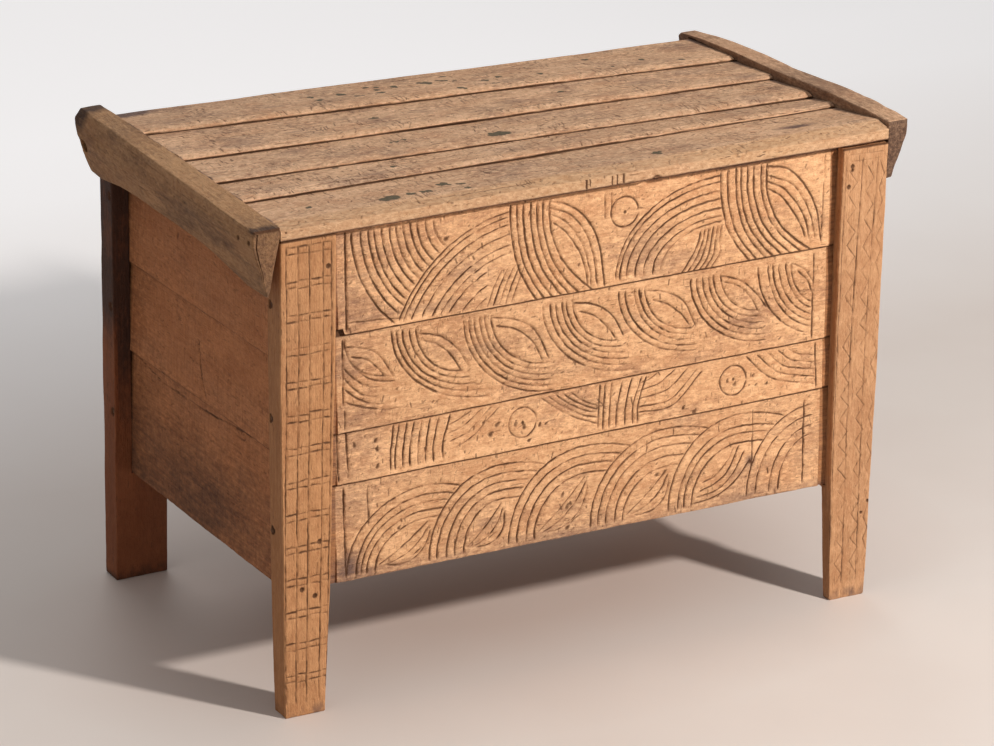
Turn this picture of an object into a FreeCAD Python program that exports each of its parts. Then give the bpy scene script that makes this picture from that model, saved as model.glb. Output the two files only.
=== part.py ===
import FreeCAD, Part

import math
import os
import re

import Sketcher

# A carpentered grain ark: riven wedge boards held in four grooved plank posts, with a lapped plank lid
# that turns on two wooden pins in the rear posts. Millimetres. +X right, +Y to the back, +Z up. The origin
# is on the floor, under the middle of the whole chest.

DIMENSIONS = {
    # the carcass
    "width": 969.5,
    "depth": 580.4,
    "post_height": 700.0,
    "front_face": -290.2,
    "post_thickness": 41.0,
    "leg_top": 195.0,
    "taper_top": 560.0,
    "outer_taper_top": 480.0,
    "rear_round": 21.6,
    # wedge boards of the walls: a thick lower edge with a groove, and a thin upper edge that fits in it
    "board_thick_edge": 20.0,
    "board_thin_edge": 6.0,
    "board_tuck": 10.0,
    "board_groove_depth": 12.0,
    "board_groove_mouth": 8.8,
    "board_groove_bottom": 6.6,
    "tongue_thickness": 12.6,
    "tongue_play": 0.4,
    "cut_margin": 30.0,
    "long_wall_inset": 23.0,
    "side_wall_inset": 34.0,
    "left_groove_low": 168.0,
    "right_groove_low": 180.0,
    "left_groove_inset": 68.0,
    "right_groove_inset": 61.0,
    "left_shoulder_inset": 94.0,
    "right_shoulder_inset": 85.5,
    "side_groove_depth": 16.0,
    "side_shoulder_gap": 4.0,
    # the floor
    "floor_height": 204.0,
    "floor_thickness": 14.0,
    "floor_groove_depth": 5.0,
    "floor_gap": 0.6,
    "floor_post_gap": 2.0,
    # pegs and hinge pins
    "peg_radius": 3.5,
    "peg_hole_radius": 3.55,
    "peg_recess": 2.5,
    "side_peg_inset": 33.0,
    "side_peg_length": 50.0,
    "left_peg_inset": 72.0,
    "right_peg_inset": 67.0,
    "pivot_inset": 22.0,
    "pivot_height": 676.0,
    "pin_radius": 9.9,
    "pin_seat_radius": 9.95,
    "pin_turn_radius": 9.97,
    "pin_in_post": 24.0,
    "left_pin_in_cleat": 20.0,
    "right_pin_in_cleat": 17.0,
    # the lid
    "lid_underside": 700.3,
    "lid_lap": 12.0,
    "lap_play": 0.4,
    "lid_bevel_width": 30.0,
    "lid_lift_width": 25.0,
    "lid_left_lift": 0.5,
    "lid_right_lift": 4.5,
    "lid_left_bevel": 4.0,
    "lid_right_bevel": 6.0,
    "cleat_clearance": 0.6,
    "cleat_reach": 44.0,
    "left_cleat_groove_rear": 568.0,
    "right_cleat_groove_rear": 548.0,
    "left_cleat_groove_low": 704.0,
    "left_cleat_groove_high": 716.0,
    "left_cleat_groove_depth": 20.0,
    "right_cleat_groove_low": 699.0,
    "right_cleat_groove_high": 707.8,
    "right_cleat_groove_depth": 18.0,
    "lid_peg_low": 690.0,
    "lid_peg_inset": 11.0,
    "lid_peg_recess": 1.0,
}

# Each post's widths at the wall, at the top of the leg and at the foot, the inset of the foot's outer edge,
# and the leg's thickness at its top and at the foot, with the height where the leg's back is cut in.
POST_SHAPES = {
    "front_left": {
        "width": 84.0,
        "leg_width": 77.5,
        "foot_inner": 70.0,
        "foot_outer": 8.5,
        "leg_thickness": 40.5,
        "foot_thickness": 35.0,
        "leg_cut": 195.0,
    },
    "front_right": {
        "width": 76.5,
        "leg_width": 72.5,
        "foot_inner": 66.0,
        "foot_outer": 4.5,
        "leg_thickness": 26.0,
        "foot_thickness": 18.5,
        "leg_cut": 176.0,
    },
    "rear_left": {
        "width": 86.5,
        "leg_width": 86.0,
        "foot_inner": 84.5,
        "foot_outer": 0.8,
        "leg_thickness": 40.5,
        "foot_thickness": 40.0,
        "leg_cut": 195.0,
    },
    "rear_right": {
        "width": 80.0,
        "leg_width": 79.0,
        "foot_inner": 77.0,
        "foot_outer": 1.5,
        "leg_thickness": 40.5,
        "foot_thickness": 39.0,
        "leg_cut": 195.0,
    },
}

# Heights of the board seams of each wall at its two ends, from the lowest edge up to the top edge.
WALL_SEAMS = {
    "front": {"left": (183.0, 328.0, 403.5, 546.5, 699.6), "right": (182.0, 335.0, 413.0, 553.0, 699.6)},
    "rear": {"left": (184.0, 322.0, 446.0, 568.0, 694.0), "right": (186.0, 334.0, 440.0, 575.0, 694.0)},
    "left": {"front": (176.0, 370.0, 506.0, 699.4), "rear": (171.0, 362.0, 498.0, 699.4)},
    "right": {"front": (183.0, 342.0, 520.0, 699.4), "rear": (185.0, 351.0, 528.0, 699.4)},
}

# The lid's seams, from its rear edge to its front edge, as distances from the front face.
LID_SEAMS = {
    "left": (566.0, 436.0, 305.0, 202.0, 119.0, 0.0),
    "right": (546.0, 416.0, 307.0, 200.0, 142.0, 0.0),
}

# Thickness of each lid board at its rear edge and at its front edge, from the back board to the front one.
LID_REAR_THICKNESS = {"left": (15.0, 22.0, 22.0, 21.0, 18.0), "right": (5.2, 6.0, 8.0, 10.0, 12.0)}
LID_FRONT_THICKNESS = {"left": (30.0, 30.0, 28.0, 25.0, 20.7), "right": (13.0, 15.5, 17.5, 19.5, 27.0)}

# Outlines of the cleats, as distances from the front face with heights: from the front end along the lower
# edge, up the rear end, and back along the top edge.
CLEAT_PROFILES = {
    "left": (
        (0.0, 625.0),
        (60.0, 624.0),
        (100.0, 631.0),
        (150.0, 640.0),
        (210.0, 646.0),
        (400.0, 648.0),
        (455.0, 645.0),
        (525.0, 635.0),
        (558.0, 637.0),
        (571.5, 664.0),
        (574.0, 685.0),
        (580.4, 712.0),
        (572.0, 730.0),
        (496.0, 731.0),
        (360.0, 729.5),
        (224.0, 727.5),
        (110.0, 725.0),
        (0.0, 721.5),
    ),
    "right": (
        (4.0, 645.0),
        (90.0, 643.0),
        (200.0, 646.0),
        (400.0, 645.0),
        (500.0, 641.0),
        (548.0, 643.0),
        (573.0, 670.0),
        (580.4, 703.0),
        (573.0, 709.0),
        (517.0, 715.0),
        (460.0, 718.5),
        (403.0, 721.0),
        (306.0, 723.0),
        (238.0, 727.0),
        (158.0, 730.5),
        (80.0, 732.0),
        (4.0, 731.0),
    ),
}
# How far each cleat's top reaches beyond the posts, along its length.
CLEAT_OUTER_EDGE = {
    "left": ((0.0, 42.0), (93.0, 44.0), (223.0, 42.0), (359.0, 40.0), (496.0, 38.0), (580.4, 40.0)),
    "right": ((0.0, 32.5), (100.0, 44.0), (170.0, 43.0), (293.0, 35.0), (430.0, 33.5), (580.4, 32.0)),
}
# The outer and inner faces of each cleat's wedge section, as reaches beyond the posts with heights.
CLEAT_SLOPES = {
    "left": {"outer": ((44.0, 702.0), (35.5, 675.0), (18.5, 619.0)), "inner": ((0.6, 706.0), (18.5, 619.0))},
    "right": {"outer": ((44.0, 727.0), (33.0, 708.0), (4.8, 630.0)), "inner": ((0.6, 700.0), (1.4, 630.0))},
}

SIDES = ("left", "right")
ROWS = ("front", "rear")
SIDE_SIGN = {"left": "-1", "right": "1"}

for post, shape in POST_SHAPES.items():
    for name, value in shape.items():
        DIMENSIONS[f"{post}_post_{name}"] = value
for wall, ends in WALL_SEAMS.items():
    for end, heights in ends.items():
        for number, height in enumerate(heights):
            DIMENSIONS[f"{wall}_wall_seam_{number}_{end}"] = height
for side in SIDES:
    for number, distance in enumerate(LID_SEAMS[side]):
        DIMENSIONS[f"lid_seam_{number}_{side}"] = distance
    for number, thickness in enumerate(LID_REAR_THICKNESS[side], 1):
        DIMENSIONS[f"lid_board_{number}_rear_{side}"] = thickness
    for number, thickness in enumerate(LID_FRONT_THICKNESS[side], 1):
        DIMENSIONS[f"lid_board_{number}_front_{side}"] = thickness
    for number, (distance, height) in enumerate(CLEAT_PROFILES[side]):
        DIMENSIONS[f"{side}_cleat_profile_{number}_along"] = distance
        DIMENSIONS[f"{side}_cleat_profile_{number}_height"] = height
    for number, (distance, reach) in enumerate(CLEAT_OUTER_EDGE[side]):
        DIMENSIONS[f"{side}_cleat_plan_{number}_along"] = distance
        DIMENSIONS[f"{side}_cleat_plan_{number}_reach"] = reach
    for face, points in CLEAT_SLOPES[side].items():
        for number, (reach, height) in enumerate(points):
            DIMENSIONS[f"{side}_cleat_{face}_{number}_reach"] = reach
            DIMENSIONS[f"{side}_cleat_{face}_{number}_height"] = height

doc = FreeCAD.newDocument("GrainArk")
sheet = doc.addObject("Spreadsheet::Sheet", "Dimensions")
for row_number, (alias, value) in enumerate(DIMENSIONS.items(), 1):
    sheet.set(f"A{row_number}", alias)
    sheet.set(f"B{row_number}", str(value))
    sheet.setAlias(f"B{row_number}", alias)
doc.recompute()


def cells(text):
    """The expression with each dimension's name read from the sheet."""
    return re.sub(r"[a-z]\w*", lambda word: f"Dimensions.{word.group()}", text)


def side_x(side, inset):
    """X at a distance inwards from the outer face of the posts of one side."""
    return f"{SIDE_SIGN[side]} * (width / 2 - ({inset}))"


def row_y(row, inset):
    """Y at a distance inwards from the outer face of the posts of the front or rear row."""
    if row == "front":
        return f"front_face + ({inset})"
    return f"front_face + depth - ({inset})"


# Sketches and features


def body_plane(body, role):
    for feature in body.Origin.OriginFeatures:
        if feature.Role == role:
            return feature
    raise ValueError(role)


def new_body(label):
    body = doc.addObject("PartDesign::Body", label)
    body.Label = label
    return body


def new_sketch(body, name, role, offset="0"):
    sketch = body.newObject("Sketcher::SketchObject", name)
    sketch.AttachmentSupport = [(body_plane(body, role), "")]
    sketch.MapMode = "FlatFace"
    sketch.setExpression("AttachmentOffset.Base.z", cells(offset))
    return sketch


def hold_point(sketch, geometry, position, start, point):
    """Ties one point of a sketch to the sheet, as distances from the sketch's origin."""
    for kind, value, text in (("DistanceX", start.x, point[0]), ("DistanceY", start.y, point[1])):
        constraint = sketch.addConstraint(Sketcher.Constraint(kind, -1, 1, geometry, position, value))
        sketch.setExpression(f"Constraints[{constraint}]", cells(text))


def add_loop(sketch, points):
    """A closed outline whose corners are bound to the sheet."""
    count = len(points)
    first = sketch.GeometryCount
    corners = []
    for number in range(count):
        turn = 2 * math.pi * number / count
        corners.append(FreeCAD.Vector(100 * math.cos(turn), 100 * math.sin(turn), 0))
    for number in range(count):
        sketch.addGeometry(Part.LineSegment(corners[number], corners[(number + 1) % count]), False)
    for number in range(count):
        following = first + (number + 1) % count
        sketch.addConstraint(Sketcher.Constraint("Coincident", first + number, 2, following, 1))
    for number, point in enumerate(points):
        hold_point(sketch, first + number, 1, corners[number], point)


def add_circle(sketch, point, radius):
    centre = FreeCAD.Vector(10, 10, 0)
    circle = sketch.addGeometry(Part.Circle(centre, FreeCAD.Vector(0, 0, 1), 5), False)
    hold_point(sketch, circle, 3, centre, point)
    constraint = sketch.addConstraint(Sketcher.Constraint("Radius", circle, 5))
    sketch.setExpression(f"Constraints[{constraint}]", cells(radius))


def rectangle(low_u, high_u, low_v, high_v):
    return [(low_u, low_v), (high_u, low_v), (high_u, high_v), (low_u, high_v)]


def outline_sketch(body, name, role, loops, offset="0"):
    sketch = new_sketch(body, name, role, offset)
    for loop in loops:
        add_loop(sketch, loop)
    return sketch


def circle_sketch(body, name, role, points, radius, offset="0"):
    sketch = new_sketch(body, name, role, offset)
    for point in points:
        add_circle(sketch, point, radius)
    return sketch


def pad(body, sketch, length, backwards=False):
    feature = body.newObject("PartDesign::Pad", f"{sketch.Name}Pad")
    feature.Profile = sketch
    feature.setExpression("Length", cells(length))
    feature.Reversed = backwards
    return feature


def pocket(body, sketch, length=None, backwards=False, both_ways=False):
    """Cuts a sketch out of a body. A length of None cuts right through."""
    feature = body.newObject("PartDesign::Pocket", f"{sketch.Name}Pocket")
    feature.Profile = sketch
    feature.Midplane = both_ways
    feature.Reversed = backwards
    if length is None:
        feature.Type = "ThroughAll"
    else:
        feature.setExpression("Length", cells(length))
    cuts.append(feature)
    return feature


def loft(body, sketches):
    feature = body.newObject("PartDesign::AdditiveLoft", "Loft")
    feature.Profile = sketches[0]
    feature.Sections = sketches[1:]
    feature.Ruled = True
    return feature


cuts = []
subparts = []


# Posts: planks with their wide face to the front or back, tapered towards the foot


def long_wall_peg_heights(row, side):
    seams = [f"{row}_wall_seam_{number}_{side}" for number in range(5)]
    return [f"({low} + {high}) / 2" for low, high in zip(seams, seams[1:])]


def side_wall_peg_heights(side, row):
    seams = [f"{side}_wall_seam_{number}_{row}" for number in range(4)]
    return [f"({low} + {high}) / 2" for low, high in zip(seams, seams[1:])]


def make_post(row, side):
    name = f"{row}_{side}_post"
    body = new_body(name)
    outline = [
        (side_x(side, "0"), "post_height"),
        (side_x(side, "0"), "outer_taper_top"),
        (side_x(side, f"{name}_foot_outer"), "0"),
        (side_x(side, f"{name}_foot_inner"), "0"),
        (side_x(side, f"{name}_leg_width"), "leg_top"),
        (side_x(side, f"{name}_width"), "taper_top"),
        (side_x(side, f"{name}_width"), "post_height"),
    ]
    face = f"-({row_y(row, '0')})"
    pad(body, outline_sketch(body, "Outline", "XZ_Plane", [outline], face), "post_thickness", row == "front")
    if row == "rear":
        doc.recompute()
        round_rear_edge(body)
    foot = [
        (row_y(row, f"{name}_leg_thickness"), f"{name}_leg_cut"),
        (row_y(row, f"{name}_foot_thickness"), "0"),
        (row_y(row, "post_thickness + cut_margin"), "0"),
        (row_y(row, "post_thickness + cut_margin"), f"{name}_leg_cut"),
    ]
    pocket(body, outline_sketch(body, "FootTaper", "YZ_Plane", [foot]), both_ways=True)
    half_groove = "(tongue_thickness + tongue_play) / 2"
    wall_groove = rectangle(
        side_x(side, f"{side}_groove_inset"),
        side_x(side, f"{name}_width + cut_margin"),
        row_y(row, f"long_wall_inset - {half_groove}"),
        row_y(row, f"long_wall_inset + {half_groove}"),
    )
    side_groove = rectangle(
        side_x(side, f"side_wall_inset - {half_groove}"),
        side_x(side, f"side_wall_inset + {half_groove}"),
        row_y(row, "post_thickness - side_groove_depth"),
        row_y(row, "post_thickness + cut_margin"),
    )
    grooves = outline_sketch(body, "Grooves", "XY_Plane", [wall_groove, side_groove], f"{side}_groove_low")
    pocket(body, grooves, backwards=True)
    peg_places = [(side_x(side, f"{side}_peg_inset"), height) for height in long_wall_peg_heights(row, side)]
    pocket(body, circle_sketch(body, "WallPegs", "XZ_Plane", peg_places, "peg_hole_radius"), both_ways=True)
    outward = side == "left"
    side_places = [(row_y(row, "side_peg_inset"), height) for height in side_wall_peg_heights(side, row)]
    outer_face = side_x(side, "0")
    side_pegs = circle_sketch(body, "SidePegs", "YZ_Plane", side_places, "peg_hole_radius", outer_face)
    pocket(body, side_pegs, "side_peg_length + peg_recess + 1", outward)
    if row == "rear":
        pivot = [(row_y(row, "pivot_inset"), "pivot_height")]
        seat = circle_sketch(body, "PinSeat", "YZ_Plane", pivot, "pin_seat_radius", outer_face)
        pocket(body, seat, "pin_in_post + 0.5", outward)
    subparts.append(body)


def round_rear_edge(body):
    """Rounds the post's top rear edge about the pins, so that the lid can turn past it."""
    rear = DIMENSIONS["front_face"] + DIMENSIONS["depth"]
    plank = body.Tip
    found = []
    for number, edge in enumerate(plank.Shape.Edges, 1):
        middle = edge.CenterOfMass
        along_x = edge.BoundBox.XLength > DIMENSIONS["post_thickness"]
        at_rear = abs(middle.y - rear) < 0.01
        if along_x and at_rear and abs(middle.z - DIMENSIONS["post_height"]) < 0.01:
            found.append(f"Edge{number}")
    fillet = body.newObject("PartDesign::Fillet", "RearRound")
    fillet.Base = (plank, found)
    fillet.setExpression("Radius", cells("rear_round"))


# Wall boards: each is a wedge in section, thick and grooved below, thin above


def board_section(centre, low, high, grooved):
    """Corners of a wall board's section as distance across the wall and height."""
    thick = "board_thick_edge / 2"
    thin = "board_thin_edge / 2"
    corners = [(f"{centre} - {thick}", low)]
    if grooved:
        mouth = "board_groove_mouth / 2"
        bottom = "board_groove_bottom / 2"
        deep = f"{low} + board_groove_depth"
        corners += [
            (f"{centre} - {mouth}", low),
            (f"{centre} - {bottom}", deep),
            (f"{centre} + {bottom}", deep),
            (f"{centre} + {mouth}", low),
        ]
    corners += [
        (f"{centre} + {thick}", low),
        (f"{centre} + {thin}", high),
        (f"{centre} - {thin}", high),
    ]
    return corners


def board_heights(wall, number, ends):
    """The lower and upper edge of a board at both ends. Board 1 is the top one."""
    count = len(WALL_SEAMS[wall][ends[0]]) - 1
    low = [f"{wall}_wall_seam_{count - number}_{end}" for end in ends]
    high = [f"{wall}_wall_seam_{count - number + 1}_{end}" for end in ends]
    if number > 1:
        high = [f"{text} + board_tuck" for text in high]
    return low, high, number < count


def make_long_wall_board(row, number):
    name = "front" if row == "front" else "back"
    body = new_body(f"{name}_board_{number}")
    centre = row_y(row, "long_wall_inset")
    low, high, grooved = board_heights(row, number, SIDES)
    sections = []
    for side, low_end, high_end in zip(SIDES, low, high):
        corners = board_section(centre, low_end, high_end, grooved)
        end_x = side_x(side, f"{side}_groove_inset + 1")
        sections.append(outline_sketch(body, f"{side.title()}End", "YZ_Plane", [corners], end_x))
    loft(body, sections)
    cheeks = []
    for side in SIDES:
        shoulder = side_x(side, f"{side}_shoulder_inset")
        beyond = side_x(side, "0")
        for sign in "-+":
            near = f"{centre} {sign} tongue_thickness / 2"
            far = f"{centre} {sign} cut_margin"
            cheeks.append(rectangle(shoulder, beyond, near, far))
    pocket(body, outline_sketch(body, "Cheeks", "XY_Plane", cheeks), both_ways=True)
    places = [
        (side_x(side, f"{side}_peg_inset"), list(reversed(long_wall_peg_heights(row, side)))[number - 1])
        for side in SIDES
    ]
    pocket(body, circle_sketch(body, "PegHoles", "XZ_Plane", places, "peg_hole_radius"), both_ways=True)
    if number == 4:
        inner = row_y(row, "long_wall_inset + board_thick_edge / 2 - floor_groove_depth")
        beyond = row_y(row, "long_wall_inset + cut_margin")
        slot = rectangle(inner, beyond, "floor_height - 0.3", "floor_height + floor_thickness + 0.3")
        pocket(body, outline_sketch(body, "FloorGroove", "YZ_Plane", [slot]), both_ways=True)
    subparts.append(body)


def make_side_wall_board(side, number):
    body = new_body(f"{side}_side_board_{number}")
    centre = side_x(side, "side_wall_inset")
    low, high, grooved = board_heights(side, number, ROWS)
    sections = []
    for row, low_end, high_end in zip(ROWS, low, high):
        corners = board_section(centre, low_end, high_end, grooved)
        end_y = row_y(row, "post_thickness - side_groove_depth + 1")
        sections.append(outline_sketch(body, f"{row.title()}End", "XZ_Plane", [corners], f"-({end_y})"))
    loft(body, sections)
    cheeks = []
    for row in ROWS:
        shoulder = row_y(row, "post_thickness + side_shoulder_gap")
        beyond = row_y(row, "0")
        for sign in "-+":
            near = f"{centre} {sign} tongue_thickness / 2"
            far = f"{centre} {sign} cut_margin"
            cheeks.append(rectangle(near, far, shoulder, beyond))
    pocket(body, outline_sketch(body, "Cheeks", "XY_Plane", cheeks), both_ways=True)
    places = [
        (row_y(row, "side_peg_inset"), list(reversed(side_wall_peg_heights(side, row)))[number - 1])
        for row in ROWS
    ]
    pocket(body, circle_sketch(body, "PegHoles", "YZ_Plane", places, "peg_hole_radius"), both_ways=True)
    if number == 3:
        inner = side_x(side, "side_wall_inset + board_thick_edge / 2 - floor_groove_depth")
        beyond = side_x(side, "side_wall_inset + cut_margin")
        slot = rectangle(inner, beyond, "floor_height - 0.3", "floor_height + floor_thickness + 0.3")
        pocket(body, outline_sketch(body, "FloorGroove", "XZ_Plane", [slot]), both_ways=True)
    subparts.append(body)


# Floor: four boards along the chest, let into the lowest wall boards and cut round the posts


def make_floor_board(number):
    body = new_body(f"floor_board_{number}")
    in_groove = "board_thick_edge / 2 - floor_groove_depth + 0.6"
    first = row_y("front", f"long_wall_inset + {in_groove}")
    last = row_y("rear", f"long_wall_inset + {in_groove}")
    low_y = f"{first} + ({last} - ({first})) * {number - 1} / 4 + floor_gap / 2"
    high_y = f"{first} + ({last} - ({first})) * {number} / 4 - floor_gap / 2"
    ends = [side_x(side, f"side_wall_inset + {in_groove}") for side in SIDES]
    outline = rectangle(ends[0], ends[1], low_y, high_y)
    plan = outline_sketch(body, "Plan", "XY_Plane", [outline], "floor_height")
    pad(body, plan, "floor_thickness")
    row = {1: "front", 4: "rear"}.get(number)
    if row:
        notches = []
        for side in SIDES:
            notch_x = side_x(side, f"{row}_{side}_post_width + floor_post_gap")
            notch_y = row_y(row, "post_thickness + floor_post_gap")
            notches.append(rectangle(notch_x, side_x(side, "0"), notch_y, row_y(row, "0")))
        pocket(body, outline_sketch(body, "PostNotches", "XY_Plane", notches), both_ways=True)
    subparts.append(body)


# Pegs and pins: round wooden rods


def rod(name, radius, length, axis, base):
    """A cylinder along +X, +Y or +Z from its base point."""
    cylinder = doc.addObject("Part::Cylinder", name)
    cylinder.setExpression("Radius", cells(radius))
    cylinder.setExpression("Height", cells(length))
    turn = FreeCAD.Rotation(FreeCAD.Vector(0, 0, 1), axis)
    cylinder.Placement = FreeCAD.Placement(FreeCAD.Vector(0, 0, 0), turn)
    for letter, text in zip("xyz", base):
        cylinder.setExpression(f"Placement.Base.{letter}", cells(text))
    return cylinder


def rod_group(label, rods):
    group = doc.addObject("Part::Compound", label)
    group.Label = label
    group.Links = rods
    subparts.append(group)


def make_long_wall_pegs(row):
    name = "front" if row == "front" else "back"
    length = "post_thickness - peg_recess - 1"
    start = row_y(row, "peg_recess" if row == "front" else "post_thickness - 1")
    rods = []
    for side in SIDES:
        for number, height in enumerate(long_wall_peg_heights(row, side)):
            base = (side_x(side, f"{side}_peg_inset"), start, height)
            rod_name = f"{name}_{side}_peg_{number}"
            rods.append(rod(rod_name, "peg_radius", length, FreeCAD.Vector(0, 1, 0), base))
    rod_group(f"{name}_wall_pegs", rods)


def make_side_pegs(side):
    start = side_x(side, "peg_recess" if side == "left" else "peg_recess + side_peg_length")
    rods = []
    for row in ROWS:
        for number, height in enumerate(side_wall_peg_heights(side, row)):
            base = (start, row_y(row, "side_peg_inset"), height)
            name = f"{side}_{row}_side_peg_{number}"
            rods.append(rod(name, "peg_radius", "side_peg_length", FreeCAD.Vector(1, 0, 0), base))
    rod_group(f"{side}_side_pegs", rods)


def make_hinge_pin(side):
    in_cleat = f"{side}_pin_in_cleat"
    start = side_x(side, f"-{in_cleat}" if side == "left" else "pin_in_post")
    base = (start, row_y("rear", "pivot_inset"), "pivot_height")
    pin = rod(f"{side}_hinge_pin", "pin_radius", f"pin_in_post + {in_cleat}", FreeCAD.Vector(1, 0, 0), base)
    pin.Label = f"{side}_hinge_pin"
    subparts.append(pin)


# Lid boards: flat below, wedge-shaped above, each front edge lapping over the thin rear edge of the next


def from_front(distance):
    return f"front_face + {distance}"


def lid_section(number, side):
    """Corners of a lid board's section as Y and height. Board 1 is the rear one, board 5 the front one."""
    rear = from_front(f"lid_seam_{number - 1}_{side}")
    front = from_front(f"lid_seam_{number}_{side}")
    rear_top = f"lid_underside + lid_board_{number}_rear_{side}"
    front_top = f"lid_underside + lid_board_{number}_front_{side}"
    corners = []
    if number == 1:
        corners += [(rear, "lid_underside"), (rear, rear_top)]
    else:
        corners += [(f"{rear} + lid_lap", "lid_underside"), (f"{rear} + lid_lap", rear_top), (rear, rear_top)]
    if number == 5:
        corners += [
            (f"{front} + lid_bevel_width", front_top),
            (front, f"{front_top} - lid_{side}_bevel"),
            (front, f"lid_underside + lid_{side}_lift"),
            (f"{front} + lid_lift_width", "lid_underside"),
        ]
    else:
        lip = f"lid_underside + lid_board_{number + 1}_rear_{side} + lap_play"
        under = f"{front} + lid_lap + lap_play"
        corners += [(front, front_top), (front, lip), (under, lip), (under, "lid_underside")]
    return corners


def lid_peg_place(number, side):
    middle = f"(lid_seam_{number - 1}_{side} + lid_seam_{number}_{side}) / 2"
    return side_x(side, "-lid_peg_inset"), from_front(middle)


def make_lid_board(number):
    body = new_body(f"lid_board_{number}")
    sections = []
    for side in SIDES:
        end_x = side_x(side, f"-(cleat_clearance + {side}_cleat_groove_depth - 0.6)")
        corners = lid_section(number, side)
        sections.append(outline_sketch(body, f"{side.title()}End", "YZ_Plane", [corners], end_x))
    loft(body, sections)
    trims = []
    for side in SIDES:
        shoulder = side_x(side, "-cleat_clearance + 0.5")
        beyond = side_x(side, "-cleat_reach - cut_margin")
        above = f"{side}_cleat_groove_high - 0.3"
        below = f"{side}_cleat_groove_low + 0.3"
        trims.append(rectangle(shoulder, beyond, above, "post_height + 2 * cut_margin"))
        trims.append(rectangle(shoulder, beyond, "post_height - cut_margin", below))
    pocket(body, outline_sketch(body, "Tongues", "XZ_Plane", trims), both_ways=True)
    places = [lid_peg_place(number, side) for side in SIDES]
    pocket(body, circle_sketch(body, "PegHoles", "XY_Plane", places, "peg_hole_radius"), both_ways=True)
    subparts.append(body)


# Cleats: deep planks on edge, wedge-shaped in section, with a groove for the ends of the lid boards


def make_cleat(side):
    body = new_body(f"{side}_lid_cleat")
    outline = [
        (from_front(f"{side}_cleat_profile_{number}_along"), f"{side}_cleat_profile_{number}_height")
        for number in range(len(CLEAT_PROFILES[side]))
    ]
    inner_face = side_x(side, "-cleat_clearance")
    profile = outline_sketch(body, "Profile", "YZ_Plane", [outline], inner_face)
    pad(body, profile, "cleat_reach - cleat_clearance", side == "left")

    points = range(len(CLEAT_OUTER_EDGE[side]))
    edge = [
        (side_x(side, f"-{side}_cleat_plan_{number}_reach"), from_front(f"{side}_cleat_plan_{number}_along"))
        for number in points
    ]
    far = side_x(side, "-cleat_reach - cut_margin")
    plan = edge + [(far, f"{edge[-1][1]} + 1"), (far, f"{edge[0][1]} - 1")]
    pocket(body, outline_sketch(body, "OuterEdge", "XY_Plane", [plan]), both_ways=True)

    slopes = []
    for face, waste in (("outer", far), ("inner", side_x(side, "cut_margin"))):
        slope = [
            (side_x(side, f"-{side}_cleat_{face}_{number}_reach"), f"{side}_cleat_{face}_{number}_height")
            for number in range(len(CLEAT_SLOPES[side][face]))
        ]
        slopes.append(slope + [(waste, slope[-1][1]), (waste, slope[0][1])])
    pocket(body, outline_sketch(body, "Slopes", "XZ_Plane", slopes), both_ways=True)

    slot = rectangle(
        side_x(side, "cut_margin"),
        side_x(side, f"-(cleat_clearance + {side}_cleat_groove_depth)"),
        f"{side}_cleat_groove_low",
        f"{side}_cleat_groove_high",
    )
    groove_end = from_front(f"{side}_cleat_groove_rear")
    groove = outline_sketch(body, "Groove", "XZ_Plane", [slot], f"-({groove_end})")
    pocket(body, groove, backwards=True)
    pivot = [(row_y("rear", "pivot_inset"), "pivot_height")]
    pocket(body, circle_sketch(body, "PinHole", "YZ_Plane", pivot, "pin_turn_radius"), both_ways=True)
    places = [lid_peg_place(number, side) for number in range(1, 6)]
    pegs = circle_sketch(body, "PegHoles", "XY_Plane", places, "peg_hole_radius", "lid_peg_low")
    pocket(body, pegs, backwards=True)
    subparts.append(body)


def cleat_top_at(side, number):
    """Height of a cleat's top edge over the peg of one lid board, between two corners of its profile."""
    middle = (LID_SEAMS[side][number - 1] + LID_SEAMS[side][number]) / 2
    profile = CLEAT_PROFILES[side]
    for corner in range(len(profile) - 1, 0, -1):
        if profile[corner][0] <= middle <= profile[corner - 1][0]:
            near = f"{side}_cleat_profile_{corner}"
            far = f"{side}_cleat_profile_{corner - 1}"
            along = f"(lid_seam_{number - 1}_{side} + lid_seam_{number}_{side}) / 2 - {near}_along"
            share = f"({along}) / ({far}_along - {near}_along)"
            return f"{near}_height + ({far}_height - {near}_height) * {share}"
    raise ValueError(side, number)


def make_lid_pegs(side):
    rods = []
    for number in range(1, 6):
        x, y = lid_peg_place(number, side)
        length = f"{cleat_top_at(side, number)} - lid_peg_low - lid_peg_recess"
        base = (x, y, "lid_peg_low + 0.1")
        rods.append(rod(f"{side}_lid_peg_{number}", "peg_radius", length, FreeCAD.Vector(0, 0, 1), base))
    rod_group(f"{side}_lid_pegs", rods)


for row in ROWS:
    for side in SIDES:
        make_post(row, side)
for row in ROWS:
    for number in range(1, 5):
        make_long_wall_board(row, number)
for side in SIDES:
    for number in range(1, 4):
        make_side_wall_board(side, number)
for number in range(1, 5):
    make_floor_board(number)
for row in ROWS:
    make_long_wall_pegs(row)
for side in SIDES:
    make_side_pegs(side)
    make_hinge_pin(side)
for number in range(1, 6):
    make_lid_board(number)
for side in SIDES:
    make_cleat(side)
    make_lid_pegs(side)

doc.recompute()

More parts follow.
